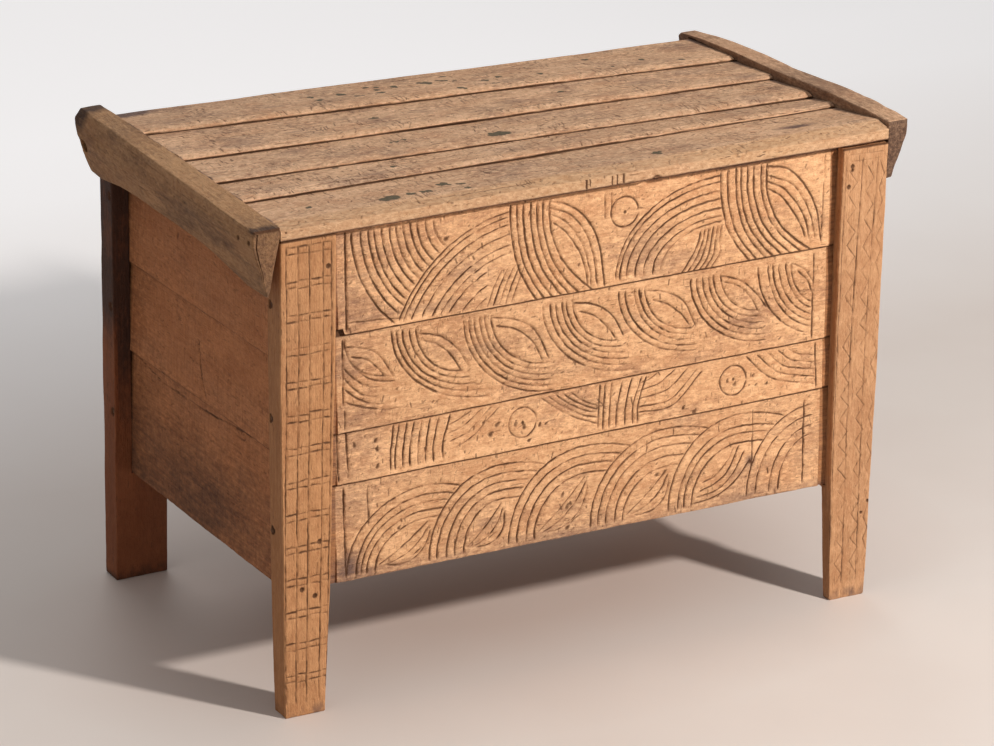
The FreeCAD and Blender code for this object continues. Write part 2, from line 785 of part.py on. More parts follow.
failed = [item.Name for item in doc.Objects if "Invalid" in item.State or "Error" in item.State]
for subpart in subparts:
    if subpart.Shape.isNull() or not subpart.Shape.isValid() or not subpart.Shape.Solids:
        failed.append(subpart.Label)
for cut in cuts:
    label = f"{cut.getParentGeoFeatureGroup().Label} {cut.Name}"
    before = cut.BaseFeature.Shape
    if cut.Shape.isNull() or before.isNull():
        failed.append(f"{label} has no shape")
    elif before.Volume - cut.Shape.Volume < 0.01:
        failed.append(f"{label} cuts nothing")
if failed:
    raise SystemExit("failed: " + ", ".join(failed))

os.makedirs("parts", exist_ok=True)
for subpart in subparts:
    subpart.Shape.exportStep(f"parts/{subpart.Label}.step")
    solids = len(subpart.Shape.Solids)
    volume = subpart.Shape.Volume / 1000
    print(f"{subpart.Label}: {solids} solid(s), {volume:.1f} cm3, {subpart.Shape.BoundBox}")
print(len(subparts), "nodes")
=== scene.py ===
import math

import bmesh
import bpy
import numpy as np
from mathutils import Matrix, Vector


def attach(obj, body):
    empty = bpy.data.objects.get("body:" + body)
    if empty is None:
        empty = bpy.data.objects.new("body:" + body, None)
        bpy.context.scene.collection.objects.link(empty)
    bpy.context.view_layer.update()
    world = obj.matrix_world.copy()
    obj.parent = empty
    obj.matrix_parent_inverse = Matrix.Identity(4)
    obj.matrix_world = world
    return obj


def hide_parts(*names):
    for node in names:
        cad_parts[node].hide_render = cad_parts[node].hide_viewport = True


# The looks of a carpentered grain ark. Shapes are worked out in millimetres in the chest's own frame: x from
# the left posts' outer face to the right, y from the front posts' face to the back, z up from the floor.

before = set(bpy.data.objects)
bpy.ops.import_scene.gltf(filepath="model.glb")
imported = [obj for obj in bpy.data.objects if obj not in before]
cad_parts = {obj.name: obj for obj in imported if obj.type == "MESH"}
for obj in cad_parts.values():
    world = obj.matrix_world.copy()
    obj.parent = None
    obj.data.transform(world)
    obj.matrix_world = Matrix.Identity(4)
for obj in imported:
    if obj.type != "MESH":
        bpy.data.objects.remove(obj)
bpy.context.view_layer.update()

WIDTH = 969.5
DEPTH = 580.4
POST_HEIGHT = 700.0
SIDES = ("left", "right")
ROWS = ("front", "rear")
MILLIMETRE = 0.001


def to_frame(points):
    """Chest millimetres to metres, with the middle of the chest's footprint at the origin."""
    moved = points - np.array([WIDTH / 2, DEPTH / 2, 0.0])
    return moved * MILLIMETRE


def side_x(side, inset):
    """Place along the chest at an inset from its left or right end."""
    return inset if side == "left" else WIDTH - inset


def row_y(row, inset):
    """Place across the chest at an inset from its front or rear face."""
    return inset if row == "front" else DEPTH - inset


def unit(value):
    """The value, kept from 0 to 1."""
    return np.clip(value, 0, 1)


def blend(low, high, share):
    """The value at a share of the way from low to high."""
    return low + (high - low) * share


def blot(u, v, middle, size):
    """1 at the middle of an oval of that size, and 0 from its rim on."""
    return unit(1 - np.hypot((u - middle[0]) / size[0], (v - middle[1]) / size[1]))


# Smooth seeded noise


def lattice(column, row, seed):
    """A fixed scattered value from -1 to 1 for each point of a lattice."""
    mixed = (column * 374761393 + row * 668265263 + seed * 2246822519) & 0xFFFFFFFF
    mixed = ((mixed ^ (mixed >> 13)) * 1274126177) & 0xFFFFFFFF
    mixed = mixed ^ (mixed >> 16)
    return (mixed & 0xFFFF) / 32767.5 - 1.0


def noise(u, v, seed):
    """Smooth noise from -1 to 1 with features about one unit wide."""
    u = np.asarray(u, float)
    v = np.asarray(v, float) + u * 0
    column = np.floor(u).astype(np.int64)
    row = np.floor(v).astype(np.int64)
    fu = u - column
    fv = v - row
    fu = fu * fu * (3 - 2 * fu)
    fv = fv * fv * (3 - 2 * fv)
    low = lattice(column, row, seed) * (1 - fu) + lattice(column + 1, row, seed) * fu
    high = lattice(column, row + 1, seed) * (1 - fu) + lattice(column + 1, row + 1, seed) * fu
    return low * (1 - fv) + high * fv


def fractal(u, v, seed, octaves):
    """Noise with finer and weaker noise added to it."""
    total = 0.0
    for octave in range(octaves):
        scale = 2**octave
        total = total + noise(u * scale, v * scale, seed + 31 * octave) / scale
    return total


def ramp(value, low, high):
    """0 below low, 1 above high, smooth between."""
    share = unit((value - low) / (high - low))
    return share * share * (3 - 2 * share)


# Relief maps: cuts, dents and stains on one face of a piece

STROKE_STEP = 0.7
CURVE_PIECES = 14
ARC_PIECES = 60
QUARTER_PIECES = 40


class Relief:
    """Depth of cuts and strength of stains over a face, on a fine grid in millimetres."""

    def __init__(self, low_u, high_u, low_v, high_v, cell=0.6):
        self.low = (low_u, low_v)
        self.cell = cell
        shape = (int((high_u - low_u) / cell) + 2, int((high_v - low_v) / cell) + 2)
        self.depth = np.zeros(shape)
        self.dark = np.zeros(shape)
        self.spot = np.zeros(shape)

    def stamp(self, layer, points, half_width, strength, power=1.0):
        """Lays round marks on a layer. Each point has its own half width and strength."""
        points = np.asarray(points, float)
        half_width = np.broadcast_to(half_width, len(points))
        strength = np.broadcast_to(strength, len(points))
        reach = int(np.max(half_width) / self.cell) + 2
        span = np.arange(-reach, reach + 1)
        offset_u, offset_v = (part.ravel() for part in np.meshgrid(span, span, indexing="ij"))
        base_u = np.round((points[:, 0] - self.low[0]) / self.cell).astype(int)
        base_v = np.round((points[:, 1] - self.low[1]) / self.cell).astype(int)
        index_u = base_u[:, None] + offset_u[None, :]
        index_v = base_v[:, None] + offset_v[None, :]
        gap_u = index_u * self.cell + self.low[0] - points[:, 0, None]
        gap_v = index_v * self.cell + self.low[1] - points[:, 1, None]
        share = 1 - np.hypot(gap_u, gap_v) / half_width[:, None]
        inside = (share > 0) & (index_u >= 0) & (index_v >= 0)
        inside &= (index_u < layer.shape[0]) & (index_v < layer.shape[1])
        value = (unit(share) ** power) * strength[:, None]
        np.maximum.at(layer, (index_u[inside], index_v[inside]), value[inside])

    def dent(self, points, hollow, dirt_and_shade):
        """A mark in depth and in dirt. Each is given by half width, strength and, if not 1, power."""
        self.stamp(self.depth, points, *hollow)
        self.stamp(self.dark, points, *dirt_and_shade)

    def groove(self, points, half_width, depth, dark, seed, wander=0.45, shift=(0.0, 0.0)):
        """A hand-cut groove along a line: its depth, width and course vary a little."""
        line = resample(points, STROKE_STEP)
        if len(line) < 2:
            return
        along = np.arange(len(line)) * STROKE_STEP
        sway = np.stack([noise(along / 9, 0, seed), noise(along / 9, 0, seed + 5)], 1)
        line = line + np.array(shift) + wander * sway
        beat = 0.92 + 0.16 * noise(along / 4.5, 0, seed + 9) + 0.16 * noise(along / 34, 0, seed + 13)
        ends = np.minimum(along, along[-1] - along)
        beat = np.clip(beat, 0.35, 1.15) * (0.5 + 0.5 * unit(ends / 4))
        tone = 0.95 + 0.25 * noise(seed * 0.618, 0.5, 3) + 0.35 * noise(along / 48, 0, seed + 17)
        tone = tone + 0.3 * noise(along / 7, 0, seed + 19)
        dirt_and_shade = dark * beat * np.clip(tone, 0.4, 1.3)
        self.stamp(self.depth, line, half_width * (1.15 + 0.2 * beat), depth * beat, 0.9)
        self.stamp(self.dark, line, half_width * (0.62 + 0.25 * tone), dirt_and_shade, 0.7)

    def under(self, near, u, v):
        """Depth, dirt and spots at the points that are near, and none at the others."""
        found = []
        for layer in (self.depth, self.dark, self.spot):
            value = np.zeros(len(u))
            value[near] = self.read(layer, u[near], v[near])
            found.append(value)
        return found

    def read(self, layer, u, v):
        place_u = np.clip((u - self.low[0]) / self.cell, 0, layer.shape[0] - 1.001)
        place_v = np.clip((v - self.low[1]) / self.cell, 0, layer.shape[1] - 1.001)
        i = place_u.astype(int)
        j = place_v.astype(int)
        fu = place_u - i
        fv = place_v - j
        low = layer[i, j] * (1 - fv) + layer[i, j + 1] * fv
        high = layer[i + 1, j] * (1 - fv) + layer[i + 1, j + 1] * fv
        return low * (1 - fu) + high * fu


def resample(points, step):
    """A line through the points, cut into equal short steps."""
    points = np.asarray(points, float)
    if len(points) < 2:
        return points
    lengths = np.hypot(*np.diff(points, axis=0).T)
    along = np.concatenate([[0], np.cumsum(lengths)])
    count = max(2, int(along[-1] / step))
    wanted = np.linspace(0, along[-1], count)
    return np.stack([np.interp(wanted, along, points[:, 0]), np.interp(wanted, along, points[:, 1])], 1)


def curve(points):
    """A smooth line through a few points."""
    points = np.asarray(points, float)
    padded = np.vstack([2 * points[0] - points[1], points, 2 * points[-1] - points[-2]])
    line = []
    for number in range(1, len(padded) - 2):
        before, start, end, after = padded[number - 1 : number + 3]
        for step in np.linspace(0, 1, CURVE_PIECES, endpoint=False):
            pull = (
                2 * start
                + (end - before) * step
                + (2 * before - 5 * start + 4 * end - after) * step**2
                + (3 * start - before - 3 * end + after) * step**3
            )
            line.append(pull / 2)
    line.append(padded[-2])
    return np.array(line)


def arc(centre, radius, start, end):
    """Part of a circle, or of an ellipse if radius has two values, between two angles in degrees."""
    radius_u, radius_v = radius if isinstance(radius, tuple) else (radius, radius)
    turn = np.radians(np.linspace(start, end, ARC_PIECES))
    return np.stack([centre[0] + radius_u * np.cos(turn), centre[1] + radius_v * np.sin(turn)], 1)


def quarter(start, end):
    """A quarter of an ellipse that leaves start upright and meets end level."""
    turn = np.radians(np.linspace(0, 90, QUARTER_PIECES))
    u = start[0] + (end[0] - start[0]) * (1 - np.cos(turn))
    v = start[1] + (end[1] - start[1]) * np.sin(turn)
    return np.stack([u, v], 1)


# Solid pieces: a box whose surface is a fine grid, bent into shape


def spaced(low, high, step, extra=()):
    """Grid lines from low to high, about a step apart, with closer ones at the rims."""
    count = max(1, int(round((high - low) / step)))
    lines = list(np.linspace(low, high, count + 1))
    for value in list(extra) + [low + 0.5, low + 1.2, high - 0.5, high - 1.2]:
        if low < value < high:
            room = 0.3 * min(step, 1.5)
            lines = [line for line in lines if line in (low, high) or abs(line - value) > room]
            lines.append(value)
    return np.array(sorted(set(round(line, 4) for line in lines)))


def round_off(points, size, radius):
    """Rounds the edges of a box by pulling its surface points in."""
    size = np.asarray(size, float)
    radius = np.broadcast_to(radius, len(points))[:, None]
    core = np.clip(points, radius, size - radius)
    away = points - core
    length = np.linalg.norm(away, axis=1, keepdims=True)
    return core + away * radius / np.maximum(length, 1e-9)


def six_volumes(first, second, third):
    """Six times the volume that triangles span with the origin."""
    return np.einsum("ij,ij->i", first, np.cross(second, third)).sum()


def build_block(name, lines, place, strides=None):
    """A closed mesh from a box's surface grid. place() bends the grid into the piece's shape.

    strides makes a face's grid coarser: (axis, end) to a step for each of the two axes that follow.
    """
    counts = [len(line) for line in lines]
    used = np.zeros(counts, bool)
    quads = []
    polygons = []
    strides = strides or {}

    def flat(corner):
        return (corner[0] * counts[1] + corner[1]) * counts[2] + corner[2]

    for axis in range(3):
        u_axis = (axis + 1) % 3
        v_axis = (axis + 2) % 3
        for end in (0, 1):
            step_u, step_v = strides.get((axis, end), (1, 1))
            level = 0 if end == 0 else counts[axis] - 1
            u_stops = list(range(0, counts[u_axis] - 1, step_u)) + [counts[u_axis] - 1]
            v_stops = list(range(0, counts[v_axis] - 1, step_v)) + [counts[v_axis] - 1]

            def corner(u, v):
                found = [None, None, None]
                found[axis] = u * 0 + level
                found[u_axis] = u
                found[v_axis] = v
                return found

            if step_u == 1 and step_v == 1:
                cells = [np.arange(counts[way] - 1) for way in (u_axis, v_axis)]
                u, v = (part.ravel() for part in np.meshgrid(*cells, indexing="ij"))
                loop = [corner(u, v), corner(u + 1, v), corner(u + 1, v + 1), corner(u, v + 1)]
                for spot in loop:
                    used[tuple(spot)] = True
                block = np.stack([flat(spot) for spot in loop], 1)
                quads.append(block if end else block[:, ::-1])
                continue
            for u_low, u_high in zip(u_stops, u_stops[1:]):
                for v_low, v_high in zip(v_stops, v_stops[1:]):
                    ring = [(u_low, v_low)]
                    if v_low == 0:
                        ring += [(u, 0) for u in range(u_low + 1, u_high)]
                    ring.append((u_high, v_low))
                    if u_high == counts[u_axis] - 1:
                        ring += [(u_high, v) for v in range(v_low + 1, v_high)]
                    ring.append((u_high, v_high))
                    if v_high == counts[v_axis] - 1:
                        ring += [(u, v_high) for u in range(u_high - 1, u_low, -1)]
                    ring.append((u_low, v_high))
                    if u_low == 0:
                        ring += [(0, v) for v in range(v_high - 1, v_low, -1)]
                    found = [corner(u, v) for u, v in ring]
                    for spot in found:
                        used[tuple(spot)] = True
                    indices = [flat(spot) for spot in found]
                    polygons.append(indices if end else indices[::-1])

    new_index = np.cumsum(used.ravel()) - 1
    place_a, place_b, place_c = np.nonzero(used)
    points = np.stack([lines[0][place_a], lines[1][place_b], lines[2][place_c]], 1)
    on = {}
    for axis, places in enumerate((place_a, place_b, place_c)):
        on[axis, 0] = places == 0
        on[axis, 1] = places == counts[axis] - 1
    world, marks = place(points, on)
    world = to_frame(world)

    quad_block = np.concatenate([new_index[block] for block in quads])
    rings = [new_index[np.array(ring)] for ring in polygons]
    corners = world[quad_block]
    volume = six_volumes(corners[:, 0], corners[:, 1], corners[:, 2])
    volume += six_volumes(corners[:, 0], corners[:, 2], corners[:, 3])
    for ring in rings:
        spots = world[ring]
        hub = spots[:1].repeat(len(ring) - 2, 0)
        volume += six_volumes(hub, spots[1:-1], spots[2:])
    if volume < 0:
        quad_block = quad_block[:, ::-1]
        rings = [ring[::-1] for ring in rings]
    return make_mesh(name, world, quad_block, rings, marks)


# The cut and stain marks hold dirt, nicks and stains and also painted shade in seams, gaps and under laps;
# the aged mark holds darker old wood and also painted shade in the gaps at the posts.
MARKS = ("cut", "stain", "spot", "worn", "aged")
SHARP_ANGLE = math.radians(38)


def make_mesh(name, points, quad_block, rings, marks):
    mesh = bpy.data.meshes.new(name)
    lengths = np.concatenate([np.full(len(quad_block), 4), np.array([len(ring) for ring in rings], int)])
    lengths = lengths.astype(np.int64)
    corners = np.concatenate([quad_block.ravel()] + rings).astype(np.int32)
    mesh.vertices.add(len(points))
    mesh.vertices.foreach_set("co", points.astype(np.float32).ravel())
    mesh.loops.add(len(corners))
    mesh.loops.foreach_set("vertex_index", corners)
    mesh.polygons.add(len(lengths))
    starts = np.concatenate([[0], np.cumsum(lengths)[:-1]]).astype(np.int32)
    mesh.polygons.foreach_set("loop_start", starts)
    mesh.update(calc_edges=True)
    mesh.validate()
    for mark in MARKS:
        values = np.broadcast_to(np.asarray(marks.get(mark, 0.0), float), len(points))
        attribute = mesh.attributes.new(mark, "FLOAT", "POINT")
        attribute.data.foreach_set("value", unit(values).astype(np.float32))
    mesh.polygons.foreach_set("use_smooth", np.ones(len(mesh.polygons), bool))
    mesh.set_sharp_from_angle(angle=SHARP_ANGLE)
    return mesh


def add_piece(name, mesh, body, material, slot, *nodes):
    piece = bpy.data.objects.new(name, mesh)
    bpy.context.scene.collection.objects.link(piece)
    mesh.materials.clear()
    mesh.materials.append(material)
    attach(piece, body)
    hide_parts(*nodes)
    return piece


# Materials

LIGHT_PINE = (0.690, 0.385, 0.195, 1.0)
DARK_PINE = (0.430, 0.195, 0.082, 1.0)
CUT_AND_SHADE_BROWN = (0.078, 0.028, 0.009, 1.0)
PURPLE_STAIN_AND_SHADE = (0.120, 0.070, 0.060, 1.0)
LID_LIGHT = (0.680, 0.415, 0.245, 1.0)
LID_DARK = (0.270, 0.140, 0.072, 1.0)
WALL_LIGHT = (0.480, 0.190, 0.074, 1.0)
WALL_DARK = (0.245, 0.080, 0.030, 1.0)
WALL_STAIN_AND_SHADE = (0.052, 0.025, 0.017, 1.0)
REAR_LIGHT = (0.250, 0.080, 0.030, 1.0)
REAR_DARK = (0.125, 0.034, 0.013, 1.0)
AGED_AND_SHADE_LIGHT = (0.365, 0.152, 0.055, 1.0)
AGED_AND_SHADE_DARK = (0.210, 0.078, 0.028, 1.0)
FLOOR_LIGHT = (0.36, 0.22, 0.13, 1)
FLOOR_DARK = (0.22, 0.12, 0.07, 1)
LID_BARE = (0.580, 0.350, 0.190, 1.0)
CLEAT_LIGHT = {"left": (0.41, 0.225, 0.105, 1), "right": (0.60, 0.36, 0.215, 1)}
CLEAT_DARK = (0.22, 0.115, 0.05, 1)
PEG_LIGHT = (0.17, 0.085, 0.042, 1)
PEG_DARK = (0.09, 0.042, 0.02, 1)
GREY_BROWN = (0.32, 0.22, 0.15, 1.0)
GREEN_FLECK = (0.065, 0.060, 0.034, 1.0)
WOOD_ROUGHNESS = 0.72
WOOD_SPECULAR = 0.25
BUMP_DISTANCE = 0.0016


class Nodes:
    """Short names for the shader nodes that the wood uses."""

    def __init__(self, name):
        self.material = bpy.data.materials.new(name)
        self.material.use_nodes = True
        self.tree = self.material.node_tree
        self.tree.nodes.clear()

    def add(self, kind, inputs=None, **settings):
        node = self.tree.nodes.new(kind)
        for key, value in settings.items():
            setattr(node, key, value)
        for key, value in (inputs or {}).items():
            self.join(value, node.inputs[key])
        return node

    def join(self, value, socket):
        if isinstance(value, bpy.types.NodeSocket):
            self.tree.links.new(value, socket)
        else:
            socket.default_value = value

    def math(self, operation, first, second):
        return self.add("ShaderNodeMath", {0: first, 1: second}, operation=operation).outputs[0]

    def times(self, first, second):
        return self.math("MULTIPLY", first, second)

    def plus(self, first, second):
        return self.math("ADD", first, second)

    def minus(self, first, second):
        return self.math("SUBTRACT", first, second)

    def mark(self, name):
        """One of the marks that the mesh carries."""
        return self.add("ShaderNodeAttribute", attribute_name=name).outputs["Fac"]

    def mix(self, share, first, second):
        node = self.add("ShaderNodeMix", data_type="RGBA", blend_type="MIX", clamp_factor=True)
        colours = [socket for socket in node.inputs if socket.type == "RGBA"]
        self.join(share, node.inputs[0])
        self.join(first, colours[0])
        self.join(second, colours[1])
        return [socket for socket in node.outputs if socket.type == "RGBA"][0]

    def stretch(self, value, low, high, to_low=0.0, to_high=1.0):
        ends = {"From Min": low, "From Max": high, "To Min": to_low, "To Max": to_high}
        return self.add("ShaderNodeMapRange", {"Value": value, **ends}, clamp=True).outputs["Result"]

    def noise(self, vector, scale, detail, roughness=0.55, distortion=0.0):
        shape = {"Scale": scale, "Detail": detail, "Roughness": roughness, "Distortion": distortion}
        return self.add("ShaderNodeTexNoise", {"Vector": vector, **shape}).outputs["Fac"]

    def mapped(self, vector, scale, offset=(0.0, 0.0, 0.0)):
        node = self.add("ShaderNodeMapping", {"Vector": vector, "Location": offset, "Scale": scale})
        return node.outputs["Vector"]


def along_grain(axis, along, across):
    """Scales for a texture that is drawn out along the grain axis."""
    return tuple(along if way == axis else across for way in "xyz")


def tinted(colour, red, green, blue):
    """A colour with each part multiplied, kept below full white."""
    parts = [min(1.0, part * share) for part, share in zip(colour, (red, green, blue))]
    return (*parts, 1.0)


def wood(
    name,
    axis,
    light,
    dark,
    stain,
    seed,
    grey=0.25,
    streak=0.5,
    speck=0.5,
    mottle=0.6,
    hair=0.6,
    spread=1.0,
    ticks=0.0,
    tick_axis="z",
    hatch=0.0,
    bare=None,
    roughness=1.0,
):
    """Dry old wood with the grain along an axis. Colours are linear.

    light, dark, stain and bare are the colours of the wood, its dark grain, its stains and painted shade, and
    its worn edges.
    grey, streak, speck, mottle and hair are the strengths of grey clouds, dark bands, pits, patches and
    fine lines. spread shortens the patches. ticks and hatch are short cuts and scrapes along tick_axis.
    """
    n = Nodes(name)
    place = n.add("ShaderNodeTexCoord").outputs["Object"]
    offset = (seed * 1.7, seed * 0.9, seed * 2.3)

    def texture(vector, along, across, detail, rough, scale=1.0, distortion=0.0, way=axis):
        drawn = n.mapped(vector, along_grain(way, along, across), offset)
        return n.noise(drawn, scale, detail, rough, distortion)

    bend = texture(place, 1.6, 7.0, 2.0, 0.55)
    shift = n.times(n.minus(bend, 0.5), 0.05)
    parts = {number: 0.0 if way == axis else shift for number, way in enumerate("xyz")}
    move = n.add("ShaderNodeCombineXYZ", parts).outputs[0]
    bent = n.add("ShaderNodeVectorMath", {0: place, 1: move}).outputs["Vector"]

    bands = texture(bent, 1.1, 55.0, 4.0, 0.6)
    fine = texture(bent, 14.0, 620.0, 3.0, 0.6)
    blotch = texture(place, 1.0, 1.0, 5.0, 0.6, 7.0, 0.4)
    cloud = texture(place, 0.6, 1.6, 4.0, 0.55, 5.0)
    middle = texture(bent, 11.0, 240.0, 4.0, 0.65)
    grain_mark = texture(place, 190.0, 420.0, 3.0, 0.7)
    patch = texture(place, 11.0 * spread, 27.0, 4.0, 0.62)
    dapple = texture(place, 80.0 * spread, 150.0, 3.0, 0.65)

    pale = tinted(light, 1.31, 1.36, 1.44)
    warm = tinted(light, 0.74, 0.62, 0.56)
    colour = n.mix(n.times(n.stretch(bands, 0.34, 0.68), streak), light, dark)
    # a texture, the values at which its colour starts and is full, its strength and its colour
    for layer, start, full, strength, tone in (
        (fine, 0.50, 0.78, hair, dark),
        (middle, 0.53, 0.72, hair * (0.6 + 0.8 * streak), dark),
        (middle, 0.47, 0.30, hair * 0.7, pale),
        (cloud, 0.42, 0.72, grey, GREY_BROWN),
        (blotch, 0.50, 0.72, 0.5, pale),
        (patch, 0.47, 0.68, 0.8 * mottle, warm),
        (patch, 0.46, 0.30, 0.5 * mottle, pale),
        (dapple, 0.51, 0.70, 0.9 * mottle, warm),
        (dapple, 0.48, 0.30, 0.9 * mottle, pale),
        (grain_mark, 0.53, 0.72, 0.7 * mottle, dark),
        (grain_mark, 0.46, 0.28, 0.6 * mottle, pale),
    ):
        colour = n.mix(n.stretch(layer, start, full, 0.0, strength), colour, tone)

    if hatch:
        scrape = texture(place, 16.0, 330.0, 3.0, 0.65, way=tick_axis)
        broken = n.stretch(cloud, 0.35, 0.62, 0.25, 1.0)
        deep_line = n.times(n.stretch(scrape, 0.52, 0.70, 0.0, hatch), broken)
        pale_line = n.times(n.stretch(scrape, 0.46, 0.30, 0.0, 0.6 * hatch), broken)
        colour = n.mix(deep_line, colour, dark)
        colour = n.mix(pale_line, colour, pale)

    # The aged colour: darker old wood on the posts' sides, and painted shade on the tongues and the posts'
    # inner edges in the gaps.
    aged_and_shade_colour = n.mix(n.stretch(middle, 0.35, 0.65), AGED_AND_SHADE_LIGHT, AGED_AND_SHADE_DARK)
    colour = n.mix(n.times(n.mark("aged"), 0.85), colour, aged_and_shade_colour)

    bare = bare or pale
    worn_share = n.times(n.mark("worn"), n.stretch(blotch, 0.3, 0.65, 0.35, 0.85))
    fresh = n.mix(n.stretch(dapple, 0.40, 0.62), bare, tinted(bare, 0.78, 0.70, 0.62))
    colour = n.mix(worn_share, colour, fresh)

    pits = texture(place, 70.0, 330.0, 1.0, 0.5)
    patches = texture(place, 1.0, 1.0, 3.0, 0.6, 16.0)
    pit_share = n.times(n.stretch(pits, 0.66, 0.73), n.stretch(patches, 0.40, 0.62, 0.0, speck))
    if ticks:
        short = texture(place, 85.0, 430.0, 1.0, 0.5, way=tick_axis)
        tick_share = n.times(n.stretch(short, 0.66, 0.73), n.stretch(patches, 0.62, 0.42, 0.0, ticks))
        pit_share = n.math("MAXIMUM", pit_share, tick_share)
    colour = n.mix(pit_share, colour, CUT_AND_SHADE_BROWN)

    # The stain mark: real stains, and painted shade at the lid boards' ends, under the lid's front edge and
    # on the cleats' end and inner faces.
    stain_and_shade_mark = n.mark("stain")
    ragged = stain_and_shade_mark
    for layer, strength in ((blotch, 0.6), (dapple, 0.7), (middle, 0.6)):
        ragged = n.plus(ragged, n.times(n.minus(layer, 0.5), strength))
    ragged = n.times(n.stretch(ragged, 0.12, 0.95), n.stretch(stain_and_shade_mark, 0.0, 0.12))
    colour = n.mix(n.times(ragged, 0.92), colour, stain)

    # Dark brown from the cut mark: dirt in cuts and nicks, and painted shade in seams, slits and gaps and
    # under laps and the lid's edges.
    dirt_and_shade = n.times(n.stretch(n.mark("cut"), 0.10, 0.62), n.stretch(blotch, 0.2, 0.6, 0.75, 1.0))
    colour = n.mix(n.times(dirt_and_shade, 0.96), colour, CUT_AND_SHADE_BROWN)

    spot_mark = n.mark("spot")
    spots = n.stretch(n.plus(spot_mark, n.times(n.minus(pits, 0.5), 0.5)), 0.36, 0.56)
    spots = n.times(spots, n.stretch(spot_mark, 0.05, 0.25))
    colour = n.mix(n.times(spots, 0.9), colour, GREEN_FLECK)

    height = n.plus(n.times(fine, 0.5), n.times(middle, 1.0))
    for layer, depth in ((grain_mark, 0.7), (dapple, 1.6), (pit_share, 1.0)):
        height = n.minus(height, n.times(layer, depth))
    relief = {"Strength": 0.8, "Distance": BUMP_DISTANCE * roughness, "Height": height}
    bump = n.add("ShaderNodeBump", relief).outputs["Normal"]
    shader = n.add("ShaderNodeBsdfPrincipled", {"Base Color": colour, "Normal": bump})
    shader.inputs["Roughness"].default_value = WOOD_ROUGHNESS
    shader.inputs["Specular IOR Level"].default_value = WOOD_SPECULAR
    output = n.add("ShaderNodeOutputMaterial")
    n.join(shader.outputs[0], output.inputs["Surface"])
    return n.material


# The shapes

POST_SHAPES = {
    # row and side: width, leg width, inner and outer insets of the foot, thickness of the leg above and at
    # the foot, and height of the leg's cut
    "front_left": (84.0, 77.5, 70.0, 8.5, 40.5, 35.0, 195.0),
    "front_right": (76.5, 72.5, 66.0, 4.5, 26.0, 18.5, 176.0),
    "rear_left": (86.5, 86.0, 84.5, 0.8, 40.5, 40.0, 195.0),
    "rear_right": (80.0, 79.0, 77.0, 1.5, 40.5, 39.0, 195.0),
}
POST_THICKNESS = 41.0
GROOVE_LOW = {"left": 168.0, "right": 180.0}
GROOVE_INSET = {"left": 68.0, "right": 61.0}
SHOULDER_INSET = {"left": 94.0, "right": 85.5}
WALL_CENTRE = 23.0
SIDE_CENTRE = 34.0
REAR_ROUND = 21.6

WALL_SEAMS = {
    "front": {"left": (183.0, 328.0, 403.5, 546.5, 699.6), "right": (182.0, 335.0, 413.0, 553.0, 699.6)},
    "rear": {"left": (184.0, 322.0, 446.0, 568.0, 694.0), "right": (186.0, 334.0, 440.0, 575.0, 694.0)},
    "left": {"front": (176.0, 370.0, 506.0, 699.4), "rear": (171.0, 362.0, 498.0, 699.4)},
    "right": {"front": (183.0, 342.0, 520.0, 699.4), "rear": (185.0, 351.0, 528.0, 699.4)},
}
LID_UNDERSIDE = 700.3
LID_SEAMS = {
    "left": (566.0, 436.0, 305.0, 202.0, 119.0, 0.0),
    "right": (546.0, 416.0, 307.0, 200.0, 142.0, 0.0),
}
LID_REAR = {"left": (15.0, 22.0, 22.0, 21.0, 18.0), "right": (5.2, 6.0, 8.0, 10.0, 12.0)}
LID_FRONT = {"left": (30.0, 30.0, 28.0, 25.0, 20.7), "right": (13.0, 15.5, 17.5, 19.5, 27.0)}
LID_BEVEL = {"left": 4.0, "right": 6.0}
LID_LIFT = {"left": 0.5, "right": 4.5}
# outlines of the cleats from the side: depth along the chest and height
CLEAT_BOTTOM = {
    "left": (
        (0, 625), (60, 624), (100, 631), (150, 640), (210, 646),
        (400, 648), (455, 645), (525, 635), (558, 637),
    ),
    "right": ((4, 645), (90, 643), (200, 646), (400, 645), (500, 641), (548, 643)),
}
CLEAT_REAR = {
    "left": ((558, 637), (571.5, 664), (574, 685), (580.4, 712), (572, 730)),
    "right": ((548, 643), (573, 670), (580.4, 703), (573, 709)),
}
CLEAT_TOP = {
    "left": ((0, 721.5), (110, 725), (224, 727.5), (360, 729.5), (496, 731), (572, 730)),
    "right": (
        (4, 731), (80, 732), (158, 730.5), (238, 727), (306, 723),
        (403, 721), (460, 718.5), (517, 715), (573, 709),
    ),
}
# reach beyond the posts at a depth, and then at a height, outside and inside
CLEAT_PLAN = {
    "left": ((0.0, 42.0), (93.0, 44.0), (223.0, 42.0), (359.0, 40.0), (496.0, 38.0), (580.4, 40.0)),
    "right": ((0.0, 32.5), (100.0, 44.0), (170.0, 43.0), (293.0, 35.0), (430.0, 33.5), (580.4, 32.0)),
}
CLEAT_OUTER = {
    "left": ((619.0, 18.5), (675.0, 35.5), (702.0, 44.0)),
    "right": ((630.0, 4.8), (708.0, 33.0), (727.0, 44.0)),
}
CLEAT_INNER = {"left": ((619.0, 18.5), (706.0, 0.6)), "right": ((630.0, 1.4), (700.0, 0.6))}
PIN_PLACE = (558.4, 676.0)
PIN_HOLE_RADIUS = 9.97
PIN_RADIUS = 9.9
PIN_IN_POST = 24.0
LID_PEG_LOW = 690.1


def through(table, value):
    """Reads a table of (input, output) pairs."""
    pairs = np.array(table, float)
    return np.interp(value, pairs[:, 0], pairs[:, 1])


# Carving of the front boards. Its places are given on a plane 5 mm in front of the boards, so all of it
# moves a little to the right and down. Each groove has a strength, which sets its width, depth and dirt.

CARVING_SHIFT = (4.0, -3.0)
SEAM_1 = 694
CARVING_END = 868


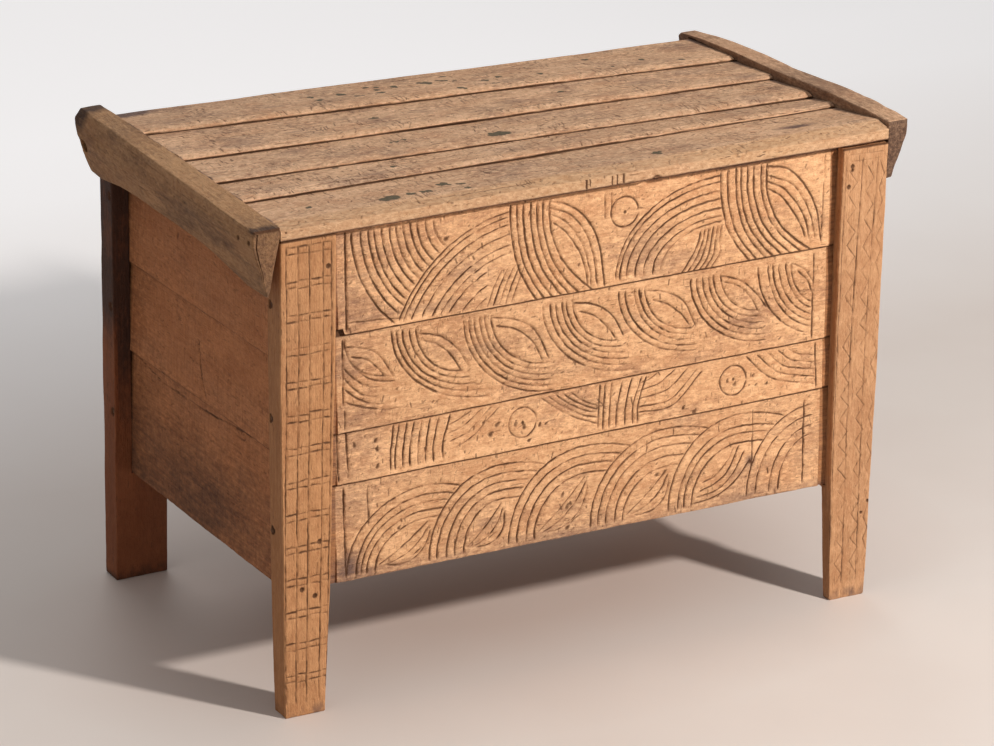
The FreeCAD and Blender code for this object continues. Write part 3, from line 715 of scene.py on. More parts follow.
def weighted(strength, lines):
    return [(line, strength) for line in lines]


def curves(*entries):
    """Smooth grooves, each given by its strength and its points."""
    return [(curve(points), strength) for strength, points in entries]


def columns(tops, bottoms, knee, foot):
    """Grooves of the top board that drop side by side from the seam and swing to the right below."""
    lines = []
    for top, bottom in zip(tops, bottoms):
        bend = bottom - top
        upper = [(top, SEAM_1), (top + 1, 655), (top + 0.22 * bend, 612)]
        lines.append(curve(upper + [(top + 0.55 * bend, knee), (bottom, foot)]))
    return lines


def outside_circle(points, centre, radius):
    """The part of a line before it enters a circle."""
    keep = np.hypot(points[:, 0] - centre[0], points[:, 1] - centre[1]) > radius
    stop = np.argmin(keep) if not keep.all() else len(points)
    return points[:stop]


def bowls(starts, top, outer, inner):
    """Grooves that drop from the seam and sweep to the right, from an outer one to an inner one."""
    lines = []
    for number, start in enumerate(starts):
        share = number / max(1, len(starts) - 1)
        end = (blend(outer[0], inner[0], share), blend(outer[1], inner[1], share))
        lines.append(quarter((start, top), end))
    return lines


def fan(starts, foot, middle, crowns, reach, stop):
    """Arches that rise from the lower edge and run to the right until the next fan, given by stop."""
    lines = []
    for start, crown in zip(starts, crowns):
        rise = crown - foot
        turn = np.radians(np.linspace(0, 150, 90))
        across = np.where(turn < math.pi / 2, middle - start, reach)
        line = np.stack([middle - across * np.cos(turn), foot + rise * np.sin(turn)], 1)
        if stop is None:
            line = line[line[:, 0] < CARVING_END]
        else:
            start_stop, middle_stop, crown_stop = stop
            share = unit((middle_stop - line[:, 0]) / (middle_stop - start_stop))
            edge = foot + (crown_stop - foot) * np.sqrt(unit(1 - share**2))
            beyond = (line[:, 0] > start_stop + 1) & (line[:, 1] < edge)
            if beyond.any():
                line = line[: np.argmax(beyond)]
        lines.append(line)
    return lines


def board_1_carving():
    eye = (381, 472)
    lines = []
    for radius in (184, 170, 158, 149, 138, 126, 116, 105, 94, 84, 71, 59):
        line = arc((296, 695), radius, 181, 268)
        line = line[line[:, 1] > 552]
        lines.append((outside_circle(line, eye, 217), 1.0))
    for radius in (215, 208, 197, 183, 168, 157, 146, 129, 114):
        line = arc(eye, radius, 160, 96)
        line = line[line[:, 1] > 554]
        reach = 359 if radius > 150 else 322
        lines.append((line[line[:, 0] < 300], 1.0))
        lines.append((line[(line[:, 0] >= 299) & (line[:, 0] < reach)], 0.55))
    for number in range(5):
        start = 321 + 9.5 * number
        lines.append((curve([(start, 555), (start + 9, 578), (start + 23, 604 + 1.5 * number)]), 0.75))
    tops = (358, 368, 378, 390, 400, 409, 420)
    lines += weighted(1.1, columns(tops, (400, 412, 425, 440, 452, 467, 490), 580, 551))
    lines += curves(
        (1.0, ((421, 690), (450, 681), (480, 656), (498, 620), (508, 555))),
        (0.9, ((421, 681), (455, 665), (478, 636), (490, 600), (496, 557))),
        (0.8, ((423, 672), (448, 655), (470, 625), (482, 590), (487, 556))),
        (0.9, ((425, 660), (448, 640), (468, 610), (478, 580), (480, 562))),
    )
    lines.append((arc((540, 658), 22, 0, 345), 0.8))
    lines += weighted(0.6, [((across, 690), (across + 0.6, 652)) for across in (508, 518)])
    starts = (526, 532, 543, 557, 571, 586, 598)
    ends = (687, 678, 665, 653, 640, 628, 620)
    lines += weighted(1.0, [quarter((start, 561), (698, end)) for start, end in zip(starts, ends)])
    for number in range(6):
        low = 632 + 9.6 * number
        high = 664 + 7.2 * number
        lines.append((curve([(low, 552), (low + 15, 572), (high - 4, 594), (high, 611 + number)]), 0.9))
    tops = (697, 708, 722, 730, 741, 751, 764, 773)
    lines += weighted(1.15, columns(tops, (745, 757, 772, 785, 800, 815, 832, 848), 582, 556))
    lines += curves(
        (0.9, ((775, 690), (810, 680), (838, 652), (858, 612), (866, 566))),
        (0.85, ((775, 676), (812, 660), (836, 632), (850, 600), (856, 570))),
        (0.9, ((774, 668), (803, 652), (828, 622), (841, 595), (846, 572))),
        (1.0, ((773, 658), (798, 642), (820, 614), (834, 590), (839, 576))),
    )
    lines.append((((103, SEAM_1), (103, 554)), 1.3))
    lines.append((((871, SEAM_1), (866, 562)), 0.7))
    lines.append((((106, 566), (150, 564), (190, 560)), 0.5))
    return lines, [(540, 658)]


def board_2_carving():
    lines = weighted(0.8, bowls((102, 102), 540, (178, 470), (165, 480)))
    for start, fall, reach in ((500, 34, 52), (486, 34, 50), (470, 30, 62), (452, 22, 84)):
        turn = np.linspace(0, 1, 24)
        line = np.stack([101 + reach * turn, start - fall * (1 - (1 - turn) ** 2)], 1)
        lines.append((line[:15], 0.85))
        lines.append((line[14:], 0.35))
    bundles = (
        ((175, 183, 192, 203, 213), (325, 424), (285, 467)),
        ((287, 295, 303, 312, 320, 330), (430, 414), (420, 456)),
        ((412, 424, 433, 443, 450, 460), (560, 422), (535, 470)),
        ((534, 545, 560, 568, 577), (665, 434), (655, 468)),
        ((652, 662, 672, 682, 690, 702), (780, 430), (768, 477)),
        ((765, 782, 790, 800, 812, 820), (885, 424), (872, 472)),
    )
    for starts, outer, inner in bundles:
        for number, line in enumerate(bowls(starts, 540, outer, inner)):
            line = line[line[:, 0] < 856]
            half = len(line) * 2 // 3
            lines.append((line[:half], 1.0))
            lines.append((line[half - 1 :], 0.55))
    lenses = (
        ((105, 530), (140, 521), (160, 504), (176, 478)),
        ((112, 515), (136, 507), (153, 492), (164, 478)),
        ((216, 532), (252, 521), (276, 500), (296, 468)),
        ((224, 520), (250, 508), (268, 490), (282, 469)),
        ((332, 535), (372, 525), (402, 503), (422, 461)),
        ((338, 522), (370, 512), (396, 490), (411, 462)),
        ((462, 536), (500, 526), (526, 505), (542, 476)),
        ((470, 522), (496, 511), (516, 492), (530, 472)),
        ((580, 535), (612, 527), (642, 508), (662, 468)),
        ((590, 519), (615, 509), (637, 491), (653, 470)),
        ((703, 537), (735, 525), (761, 503), (779, 479)),
        ((707, 528), (734, 516), (754, 496), (766, 474)),
        ((822, 537), (838, 529), (850, 517), (858, 504)),
        ((832, 524), (845, 512), (852, 500), (857, 486)),
    )
    lines += weighted(0.85, [curve(points) for points in lenses])
    lines.append((((99, 540), (99, 446)), 1.0))
    lines.append((((101, 440), (101, 412)), 0.6))
    lines.append((((859, 546), (857, 420)), 0.8))
    return lines, []


def board_3_carving():
    lines = weighted(0.9, [((91, 404), (92, 336)), ((105, 404), (107, 340))])
    near = ((173, 179), (180, 188), (192, 200), (203, 211), (216, 223), (228, 236), (240, 250), (255, 268))
    lines += weighted(0.85, [curve([(low, 340), (low + 1, 365), (high, 403)]) for low, high in near])
    lines += curves(
        (0.6, ((262, 388), (282, 394), (300, 403))),
        (0.6, ((262, 376), (290, 384), (318, 403))),
        (0.6, ((266, 364), (296, 374), (332, 403))),
        (0.6, ((266, 352), (300, 364), (346, 402))),
    )
    lines.append((arc((382, 372), 22, 0, 350), 0.7))
    for number in range(5):
        start = 412 + 12 * number
        bends = [(start, 403), (start + 22, 386), (start + 52, 366 + 2 * number), (502, 350 + 9 * number)]
        lines.append((curve(bends), 0.6))
    far = ((503, 508), (511, 517), (521, 527), (533, 545), (547, 560), (560, 576), (568, 584))
    lines += weighted(0.8, [curve([(low, 340), (low + 2, 368), (high, 406)]) for low, high in far])
    lines += curves(
        (0.6, ((576, 398), (590, 401), (604, 408))),
        (0.6, ((574, 386), (606, 392), (632, 408))),
        (0.6, ((573, 374), (618, 380), (652, 405))),
        (0.6, ((571, 362), (624, 365), (668, 402))),
        (0.6, ((570, 354), (628, 356), (676, 398))),
    )
    lines.append((arc((728, 375), 22, 0, 350), 0.6))
    for number in range(5):
        start = 750 + 18 * number
        level = 347 + 11 * number
        fall = 407 - level
        middle = (0.62 * start + 0.38 * 866, 407 - 0.66 * fall)
        lines.append((curve([(start, 407), middle, (866, level)]), 0.65))
    lines.append((((867, 408), (869, 340)), 0.7))
    return lines, [(728, 377), (382, 372)]


def board_4_carving():
    fans = (
        ((105, 120, 128, 137, 150), 232, (304, 291, 280, 268, 256), 130),
        ((235, 247, 262, 275, 290), 350, (313, 300, 287, 275, 262), 165),
        ((362, 375, 390, 403), 485, (317, 303, 290, 276), 170),
        ((495, 507, 520, 535, 548), 620, (319, 306, 293, 277, 262), 170),
        ((624, 640, 650, 663), 742, (319, 301, 290, 276), 165),
        ((757, 772, 795, 810), 868, (314, 297, 282, 268), 150),
    )
    lines = []
    for number, (starts, middle, crowns, reach) in enumerate(fans):
        stop = None
        if number + 1 < len(fans):
            following = fans[number + 1]
            stop = (following[0][0], following[1], following[2][0])
        for line in fan(starts, 192, middle, crowns, reach, stop):
            half = max(2, len(line) * 3 // 5)
            lines.append((line[:half], 0.95))
            lines.append((line[half - 1 :], 0.65))
    for starts, middle, crowns, reach in fans[:4]:
        base = np.array([starts[-1] + 6.0, 201.0])
        tip = np.array([middle + 1.0, crowns[-1] - 5.0])
        lean = np.array([(tip - base)[1], -(tip - base)[0]]) / np.hypot(*(tip - base))
        for number, bulge in enumerate((3.0, 11.0, 19.0)):
            share = np.linspace(0, 1, 40)[:, None]
            start = tip + np.array([2.0, -7.0]) * number
            end = base + np.array([7.0, -1.5]) * number
            line = start * (1 - share) + end * share + lean * bulge * 4 * share * (1 - share)
            lines.append((line[:24], 0.9))
            lines.append((line[23:], 0.5))
        lines.append((((middle - 22, 206), (middle - 8, 215)), 0.6))
    lines += curves(
        (0.8, ((666, 197), (702, 201), (736, 218), (762, 248))),
        (0.8, ((672, 205), (704, 210), (730, 227), (752, 262))),
        (0.8, ((678, 214), (704, 221), (727, 240), (742, 272))),
        (0.8, ((681, 226), (703, 233), (722, 250), (734, 270))),
    )
    lines.append((((102, 324), (104, 192)), 1.0))
    lines.append((((139, 320), (141, 262)), 0.5))
    lines.append((((853, 322), (852, 194)), 0.9))
    lines.append((((766, 322), (764, 236)), 0.5))
    return lines, [(762, 244)]


BOARD_CARVINGS = {1: board_1_carving, 2: board_2_carving, 3: board_3_carving, 4: board_4_carving}

# old bruises in the front boards: place along the board, height and size
BRUISES = (
    (121, 384, 4.5), (155, 384, 4.5), (157, 372, 5.0), (157, 347, 5.0), (325, 380, 4.0), (336, 362, 6.0),
    (347, 374, 5.5), (375, 371, 5.0), (388, 364, 5.5), (414, 362, 4.5), (425, 362, 4.0), (397, 342, 4.0),
    (454, 248, 5.0), (461, 230, 5.0), (466, 233, 4.5), (462, 198, 5.0), (192, 248, 4.0), (649, 347, 4.0),
    (667, 338, 6.0), (722, 374, 4.0), (735, 368, 5.0), (766, 375, 3.5), (771, 360, 3.5), (789, 359, 3.5),
    (609, 250, 4.5), (622, 252, 4.5), (262, 660, 5.5), (470, 590, 3.5),
)


def bruise(relief, x, z, size, seed):
    """A brown dent, drawn out to one side."""
    maker = np.random.default_rng(seed)
    turn = math.radians(maker.normal(60, 25))
    way = np.array([math.cos(turn), math.sin(turn)])
    for bit in range(6):
        share = bit / 5
        place = [np.array([x, z]) + way * size * (1.1 * share - 0.55) + maker.normal(0, 0.1 * size, 2)]
        radius = size * (0.52 - 0.3 * share) * maker.uniform(0.85, 1.15)
        relief.dent(place, (radius * 1.2, 1.2, 0.6), (radius * 1.3, maker.uniform(0.5, 0.8), 0.35))


def sprinkle(relief, count, low, high, seed, length, lean, depth, dark, width):
    """Short nicks of different lengths, as insects, nails and blades leave them."""
    maker = np.random.default_rng(seed)
    for _ in range(count):
        start = np.array([maker.uniform(low[0], high[0]), maker.uniform(low[1], high[1])])
        size = length * (0.3 + maker.random() ** 2 * 1.4)
        turn = math.radians(90 + lean + maker.normal(0, 12))
        end = start + size * np.array([math.cos(turn), math.sin(turn)])
        half = width * maker.uniform(0.6, 1.3)
        strength = maker.uniform(0.4, 1.0)
        line = resample([start, end], 0.6)
        relief.dent(line, (half, depth * strength), (half * 1.25, dark * strength, 0.8))


# nicks of a front board: number on 100 square millimetres, seed, length, lean, depth, dirt and width
BOARD_NICKS = (
    (0.22, 40, 3.2, 0, 0.7, 0.7, 1.1),
    (0.05, 60, 6.0, 4, 1.0, 0.9, 1.3),
    (0.30, 80, 2.6, -50, 0.6, 0.7, 1.2),
    (0.16, 90, 4.5, -84, 0.6, 0.55, 1.1),
)


def front_board_relief(number):
    low = min(WALL_SEAMS["front"][side][4 - number] for side in SIDES) - 4
    high = max(WALL_SEAMS["front"][side][5 - number] for side in SIDES) + 12
    relief = Relief(66, 910, low, high)
    lines, dots = BOARD_CARVINGS[number]()
    for index, (line, strength) in enumerate(lines):
        if len(line) > 1:
            width = 1.4 + 0.5 * strength
            depth = 0.6 + 2.0 * strength
            dark = 0.5 + 0.6 * strength
            relief.groove(line, width, depth, dark, 100 * number + index, shift=CARVING_SHIFT)
    for dot in dots:
        place = [(dot[0] + CARVING_SHIFT[0], dot[1] + CARVING_SHIFT[1])]
        relief.dent(place, (2.6, 1.6), (3.0, 1.0, 0.5))
    for index, (x, z, size) in enumerate(BRUISES):
        if low < z < high:
            bruise(relief, x, z, size, 30 + index)
    area = (high - low) * 780 / 100
    for share, seed, *shape in BOARD_NICKS:
        sprinkle(relief, int(area * share), (98, low), (880, high), seed + number, *shape)
    return relief


# wall boards: thickness of the lower and upper edges, how far the upper edge goes into the board above, half
# the thickness of the tongues, and place and depth of the groove in the lower edge
BOARD_BUTT = 20.0
BOARD_TIP = 6.0
BOARD_TUCK = 10.0
TONGUE_HALF = 6.3
BOARD_GROOVE = (5.6, 14.4)
BOARD_GROOVE_DEPTH = 12.0


def seam_height(wall, ends, level, share):
    low, high = (WALL_SEAMS[wall][end][level] for end in ends)
    return blend(low, high, share)


def wall_board(name, wall, number, steps, relief, back_stride, seed, stain_and_shade_at):
    """A wedge board of a wall. Its local axes run along the wall, up it, and inwards from the outer face."""
    long_wall = wall in ROWS
    ends = SIDES if long_wall else ROWS
    count = len(WALL_SEAMS[wall][ends[0]]) - 1
    if long_wall:
        starts = (GROOVE_INSET["left"] + 1, WIDTH - GROOVE_INSET["right"] - 1)
        shoulders = (SHOULDER_INSET["left"], WIDTH - SHOULDER_INSET["right"])
        centre = WALL_CENTRE
    else:
        starts = (26.0, DEPTH - 26.0)
        shoulders = (45.0, DEPTH - 45.0)
        centre = SIDE_CENTRE
    length = starts[1] - starts[0]
    tuck = BOARD_TUCK if number > 1 else 0.0
    end_seams = [WALL_SEAMS[wall][end] for end in ends]
    height = np.mean([seams[count - number + 1] - seams[count - number] for seams in end_seams])
    height = float(height) + tuck
    rims = [shoulder - starts[0] + side * 0.15 for shoulder in shoulders for side in (-1, 1)]
    along = spaced(0.0, length, steps[0], rims)
    up = spaced(0.0, height, steps[1], (2.0,))
    deep = np.array([0.0, 0.6, 1.5, 3.0, 5.55, 5.65, 14.35, 14.45, 17.5, 19.3, BOARD_BUTT])

    def place(points, on):
        a, b, c = points.T
        rough = noise(a / 37, b / 60, seed) + 0.5 * noise(a / 9, b / 30, seed + 3)
        radius = np.clip(1.9 + 0.9 * rough, 0.7, 3.4)
        moved = round_off(points, (length, height, BOARD_BUTT), radius)
        far = unit(moved[:, 0] / length)
        low = seam_height(wall, ends, count - number, far)
        high = seam_height(wall, ends, count - number + 1, far) + tuck
        share = moved[:, 1] / height
        main = starts[0] + moved[:, 0]
        sag = 0.8 * noise(main / 60, 0, seed + 7) + 0.35 * noise(main / 14, 0, seed + 8)
        low = low + np.clip(sag, 0, 2) * (1 - share)
        z = blend(low, high, share)
        thick = blend(BOARD_BUTT, BOARD_TIP, share)
        inward = moved[:, 2] / BOARD_BUTT
        between = (main > shoulders[0]) & (main < shoulders[1])
        uneven = 0.55 * fractal(main / 110, z / 45, seed + 20, 2)
        uneven = uneven + 0.2 * fractal(main / 22, z / 6, seed + 21, 2)
        uneven = np.clip(uneven + 0.4, 0, 1.6) * (1 - inward)
        hollow, cut, spot = np.zeros((3, len(points)))
        if relief:
            hollow, cut, spot = relief.under(between & (moved[:, 2] < 3.0), main, z)
        depth_in = np.maximum(inward * thick, hollow) + uneven
        across = centre - thick / 2 + np.minimum(depth_in, thick)
        across = np.where(between, across, np.clip(across, centre - TONGUE_HALF, centre + TONGUE_HALF))
        if number < count:
            in_groove = on[1, 0] & (c > BOARD_GROOVE[0]) & (c < BOARD_GROOVE[1])
            z = np.where(in_groove, low + BOARD_GROOVE_DEPTH, z)
            # Painted shade: a dark line along the lower edge, in the seam under the board's lip.
            cut = np.maximum(cut, 0.8 * ramp(moved[:, 1], 2.0, 0.4) * (moved[:, 2] < 4.0))
        # Painted shadow: the top of the face is darkened under the lip of the board above, and on the top
        # front board under the lid's front edge.
        if number > 1 or wall == "front":
            cut = np.maximum(cut, ramp(height - tuck - b, 5.0, 0.0) * (c < 1))
        if number == 1 and wall == "front":
            corner = unit((104.0 - main) / 3.0)
            z = z + 9.0 * corner * unit(1 - moved[:, 1] / 30.0)
        rim = ramp(np.abs(moved[:, 1] - 7.0), 6.0, 1.0) * (moved[:, 2] < 3.0)
        marks = {
            "cut": cut,
            "stain": stain_and_shade_at(main, z, inward),
            "spot": spot,
            "worn": rim * (0.35 + 0.3 * noise(main / 60, 0, seed + 9)) * between,
            # Aged colour on the tongues, as painted shade in the posts' grooves, and on the inner faces.
            "aged": 1 - between * ramp(inward, 0.95, 0.5),
        }
        ways = [main, row_y(wall, across), z] if long_wall else [side_x(wall, across), main, z]
        return np.stack(ways, 1), marks

    strides = {(2, 1): back_stride, (1, 1): (1, 4 if number > 1 else 1)}
    return build_block(name, (along, up, deep), place, strides)


# Posts


PLAID_COLUMNS = (8.0, 26.0, 43.0, 64.0, 76.5)


def nail_hole(relief, place, radius, dirt_radius):
    relief.dent([place], (radius, 3.0, 0.4), (dirt_radius, 1.0, 0.3))


def plaid_relief():
    """Scored lines of the left front post: five upright ones, with pairs of level ones."""
    relief = Relief(-2, 90, 0, 702)
    maker = np.random.default_rng(31)
    for number, across in enumerate(PLAID_COLUMNS):
        line = curve([(across, 692), (across + 1.0, 500), (across - 1.0, 300), (max(across * 0.93, 9), 20)])
        relief.groove(line, 1.6, 1.3, 0.82, 300 + number)
    for number in range(14):
        for part, drop in enumerate((0.0, 9.5)):
            level = 690 - 48.2 * number - drop
            if level < 25:
                continue
            for cell, (start, end) in enumerate(zip(PLAID_COLUMNS, PLAID_COLUMNS[1:])):
                fade = maker.uniform(0.8, 1.3)
                tilt = maker.normal(0, 0.8)
                stroke = [(start + 0.5, level + tilt), (end - 1.0, level + maker.normal(0, 0.8))]
                relief.groove(stroke, 1.7, 1.4 * fade, 0.88 * fade, 320 + 20 * number + 5 * part + cell)
    for place in ((72, 656), (60, 258), (33, 191), (53, 178)):
        nail_hole(relief, place, 3.6, 4.2)
    sprinkle(relief, 170, (4, 10), (80, 695), 71, 3.5, 0, 0.4, 0.5, 1.0)
    return relief


def zigzag_relief():
    """Scored lines of the right front post: two upright lines between three zigzags. u is the inset."""
    relief = Relief(-2, 90, 0, 702)
    for number, (top, low) in enumerate(((42.5, 46.0), (16.5, 21.0))):
        line = curve([(top, 684), (0.5 * (top + low) + 1.5, 560), (low + 3.0, 380), (low, 25)])
        relief.groove(line, 1.5, 1.1, 0.85, 400 + number)
    relief.groove([(71, 690), (72, 420), (69, 60)], 1.4, 0.8, 0.7, 404)
    for level in (690, 680):
        relief.groove([(8, level), (68, level + 1)], 1.3, 0.6, 0.45, 407 + level)
    maker = np.random.default_rng(23)
    for column, (near, far) in enumerate(((51.0, 66.0), (22.5, 37.5), (4.5, 13.5))):
        points = []
        level = 668.0 + 4 * column
        while level > 22:
            edge = near if len(points) % 2 else far
            squeeze = 1 - 0.12 * (1 - level / 700)
            points.append((edge * squeeze + maker.normal(0, 0.7), level))
            level -= maker.uniform(16.5, 22.0)
        relief.groove(points, 1.4, 0.9, 0.6, 420 + 60 * column, wander=0.25)
    holes = ((909, 673, 3.4), (909.5, 667, 2.6), (904, 643, 3.4), (964, 149, 2.4), (953, 132, 2.4))
    for x, level, radius in holes:
        nail_hole(relief, (WIDTH - x, level), radius, radius * 1.15)
    sprinkle(relief, 150, (4, 10), (72, 695), 77, 3.5, 0, 0.4, 0.45, 1.0)
    return relief


def plain_post_relief(seed):
    relief = Relief(-2, 92, 0, 702)
    sprinkle(relief, 160, (4, 10), (80, 695), seed, 6.0, 0, 0.5, 0.5, 1.1)
    return relief


def peg_heights(wall, end):
    seams = WALL_SEAMS[wall][end]
    return [(low + high) / 2 for low, high in zip(seams, seams[1:])]


PEG_INSET = {"left": 72.0, "right": 67.0}
SIDE_PEG_INSET = 33.0
PEG_RADIUS = 3.5
# grooves of the posts for the side boards, from the outer side, and for the long boards, from the outer face
SIDE_GROOVE = (27.5, 40.5)
SIDE_GROOVE_DEPTH = 16.0
WALL_GROOVE = (16.5, 29.5)


def post(row, side, relief, step, seed):
    width, leg_width, foot_inner, foot_outer, leg_thick, foot_thick, leg_cut = POST_SHAPES[f"{row}_{side}"]
    rims = (GROOVE_LOW[side] - 0.2, GROOVE_LOW[side] + 0.2, leg_cut - 0.2, leg_cut + 0.2)
    along = spaced(0.0, POST_HEIGHT, step, rims)
    across = spaced(0.0, width, step, (27.45, 27.55, 40.45, 40.55))
    deep = [0.0, 0.6, 1.4, 2.6, 5, 8, 12, 16.45, 16.55, 20, 24, 29.45, 29.55, 33, 36, 38.6, 39.8, 40.5, 41.0]
    side_holes = peg_heights(side, row)
    groove_start, groove_end = SIDE_GROOVE

    def place(points, on):
        a, b, c = points.T
        rough = noise(a / 60, b / 50 + c / 50, seed) + 0.5 * noise(a / 13, b / 20 + c / 20, seed + 3)
        radius = np.clip(2.2 + 1.1 * rough, 0.8, 4.5)
        moved = round_off(points, (POST_HEIGHT, width, POST_THICKNESS), radius)
        z, inset, inward = moved.T
        outer = through(((0, foot_outer), (480, 0)), z)
        inner = through(((0, foot_inner), (195, leg_width), (560, width)), z)
        before_groove = outer + inset * (groove_start - outer) / groove_start
        after_groove = groove_end + (inset - groove_end) * (inner - groove_end) / (width - groove_end)
        after_groove = np.where(inset > groove_end, after_groove, inset)
        inset = np.where(inset < groove_start, before_groove, after_groove)
        thick = np.where(z < leg_cut, through(((0, foot_thick), (leg_cut, leg_thick)), z), POST_THICKNESS)
        face = 1 - inward / POST_THICKNESS
        hollow, cut, _ = relief.under(inward < 3.2, inset, z)
        uneven = 0.7 * fractal(z / 130, inset / 40, seed + 20, 2) + 0.12 * noise(z / 30, inset / 4, seed + 21)
        uneven = np.clip(uneven + 0.4, 0, 1.6)
        depth_in = np.maximum(inward * thick / POST_THICKNESS, hollow) + uneven * face
        back = np.clip(0.5 + 0.5 * fractal(z / 90, inset / 30, seed + 30, 2), 0, 1.2) * (1 - face)
        depth_in = depth_in - back * (inward > 30)
        wobble = np.clip(0.5 + 0.7 * fractal(z / 80, inward / 60, seed + 40, 2), 0, 1.5)
        edge_share = unit(inset / width)
        inset = inset + wobble * (1 - edge_share) * (1 - edge_share)
        inset = inset - wobble * 0.8 * edge_share * edge_share * (inset > 60)
        above = z > GROOVE_LOW[side]
        in_wall_groove = on[1, 1] & above & (c > WALL_GROOVE[0]) & (c < WALL_GROOVE[1])
        inset = np.where(in_wall_groove, GROOVE_INSET[side], inset)
        in_side_groove = on[2, 1] & above & (b > groove_start) & (b < groove_end)
        depth_in = np.where(in_side_groove, POST_THICKNESS - SIDE_GROOVE_DEPTH, depth_in)
        if row == "rear":
            reach_z = z - (POST_HEIGHT - REAR_ROUND)
            reach_c = REAR_ROUND - depth_in
            corner = (reach_z > 0) & (reach_c > 0)
            length = np.hypot(reach_z, reach_c)
            pull = np.where(corner & (length > REAR_ROUND), REAR_ROUND / np.maximum(length, 1e-6), 1.0)
            z = np.where(corner, POST_HEIGHT - REAR_ROUND + reach_z * pull, z)
            depth_in = np.where(corner, REAR_ROUND - reach_c * pull, depth_in)
        for height in side_holes:
            gap = np.hypot((z - height) * 0.62, depth_in - SIDE_PEG_INSET)
            hole = (b < 2.6) & (gap < 4.6)
            inset = np.where(hole, inset + 2.4 * unit((4.6 - gap) / 1.2), inset)
            # Painted shade in the slit round each side peg.
            cut = np.maximum(cut, hole * unit((5.2 - gap) / 1.5))
        stain = unit(ramp(z, 26, 2) * (0.5 + 0.5 * noise(inset / 9, z / 14, seed + 50)) * 0.8)
        if row == "rear" and side == "left":
            soot = ramp(z, 300, 470) * (1.05 + 0.5 * noise(z / 90, inward / 12, seed + 51))
            low_soot = 0.5 * ramp(z, 190, 300) * (inset > 6) + 0.4 * ramp(z, 300, 350) * (inset > 6)
            soot = np.maximum(soot, low_soot)
            stain = np.maximum(stain, unit(soot))
        marks = {
            # Painted shadow of the lid along the top of the post's face.
            "cut": np.maximum(cut, ramp(z, 697.0, 699.8) * (c < 3) * 0.85),
            "stain": stain,
            "worn": ramp(np.minimum(b, width - b), 3.0, 0.0) * (c < 3) * 0.55,
            # Aged colour on the sides and back of the front posts: their own darker wood, and painted shade
            # on the inner edges beside the boards.
            "aged": ramp(inward, 1.0, 5.0) * (0.55 if row == "front" else 0.0),
        }
        return np.stack([side_x(side, inset), row_y(row, depth_in), z], 1), marks

    strides = {(2, 1): (3, 1)} if row == "front" else {}
    return build_block(f"{row}_{side}_post_wood", (along, across, np.array(deep)), place, strides)


# Lid


LID_BOARD_THICK = 25.0
# lengths behind the lid's front edge over which its top is bevelled and its underside lifted
LID_LEVEL = 30
LID_RISE = 25


def lid_at(table, level, share):
    """A value of the lid at a share of the way from its left end to its right end."""
    return blend(table["left"][level], table["right"][level], share)


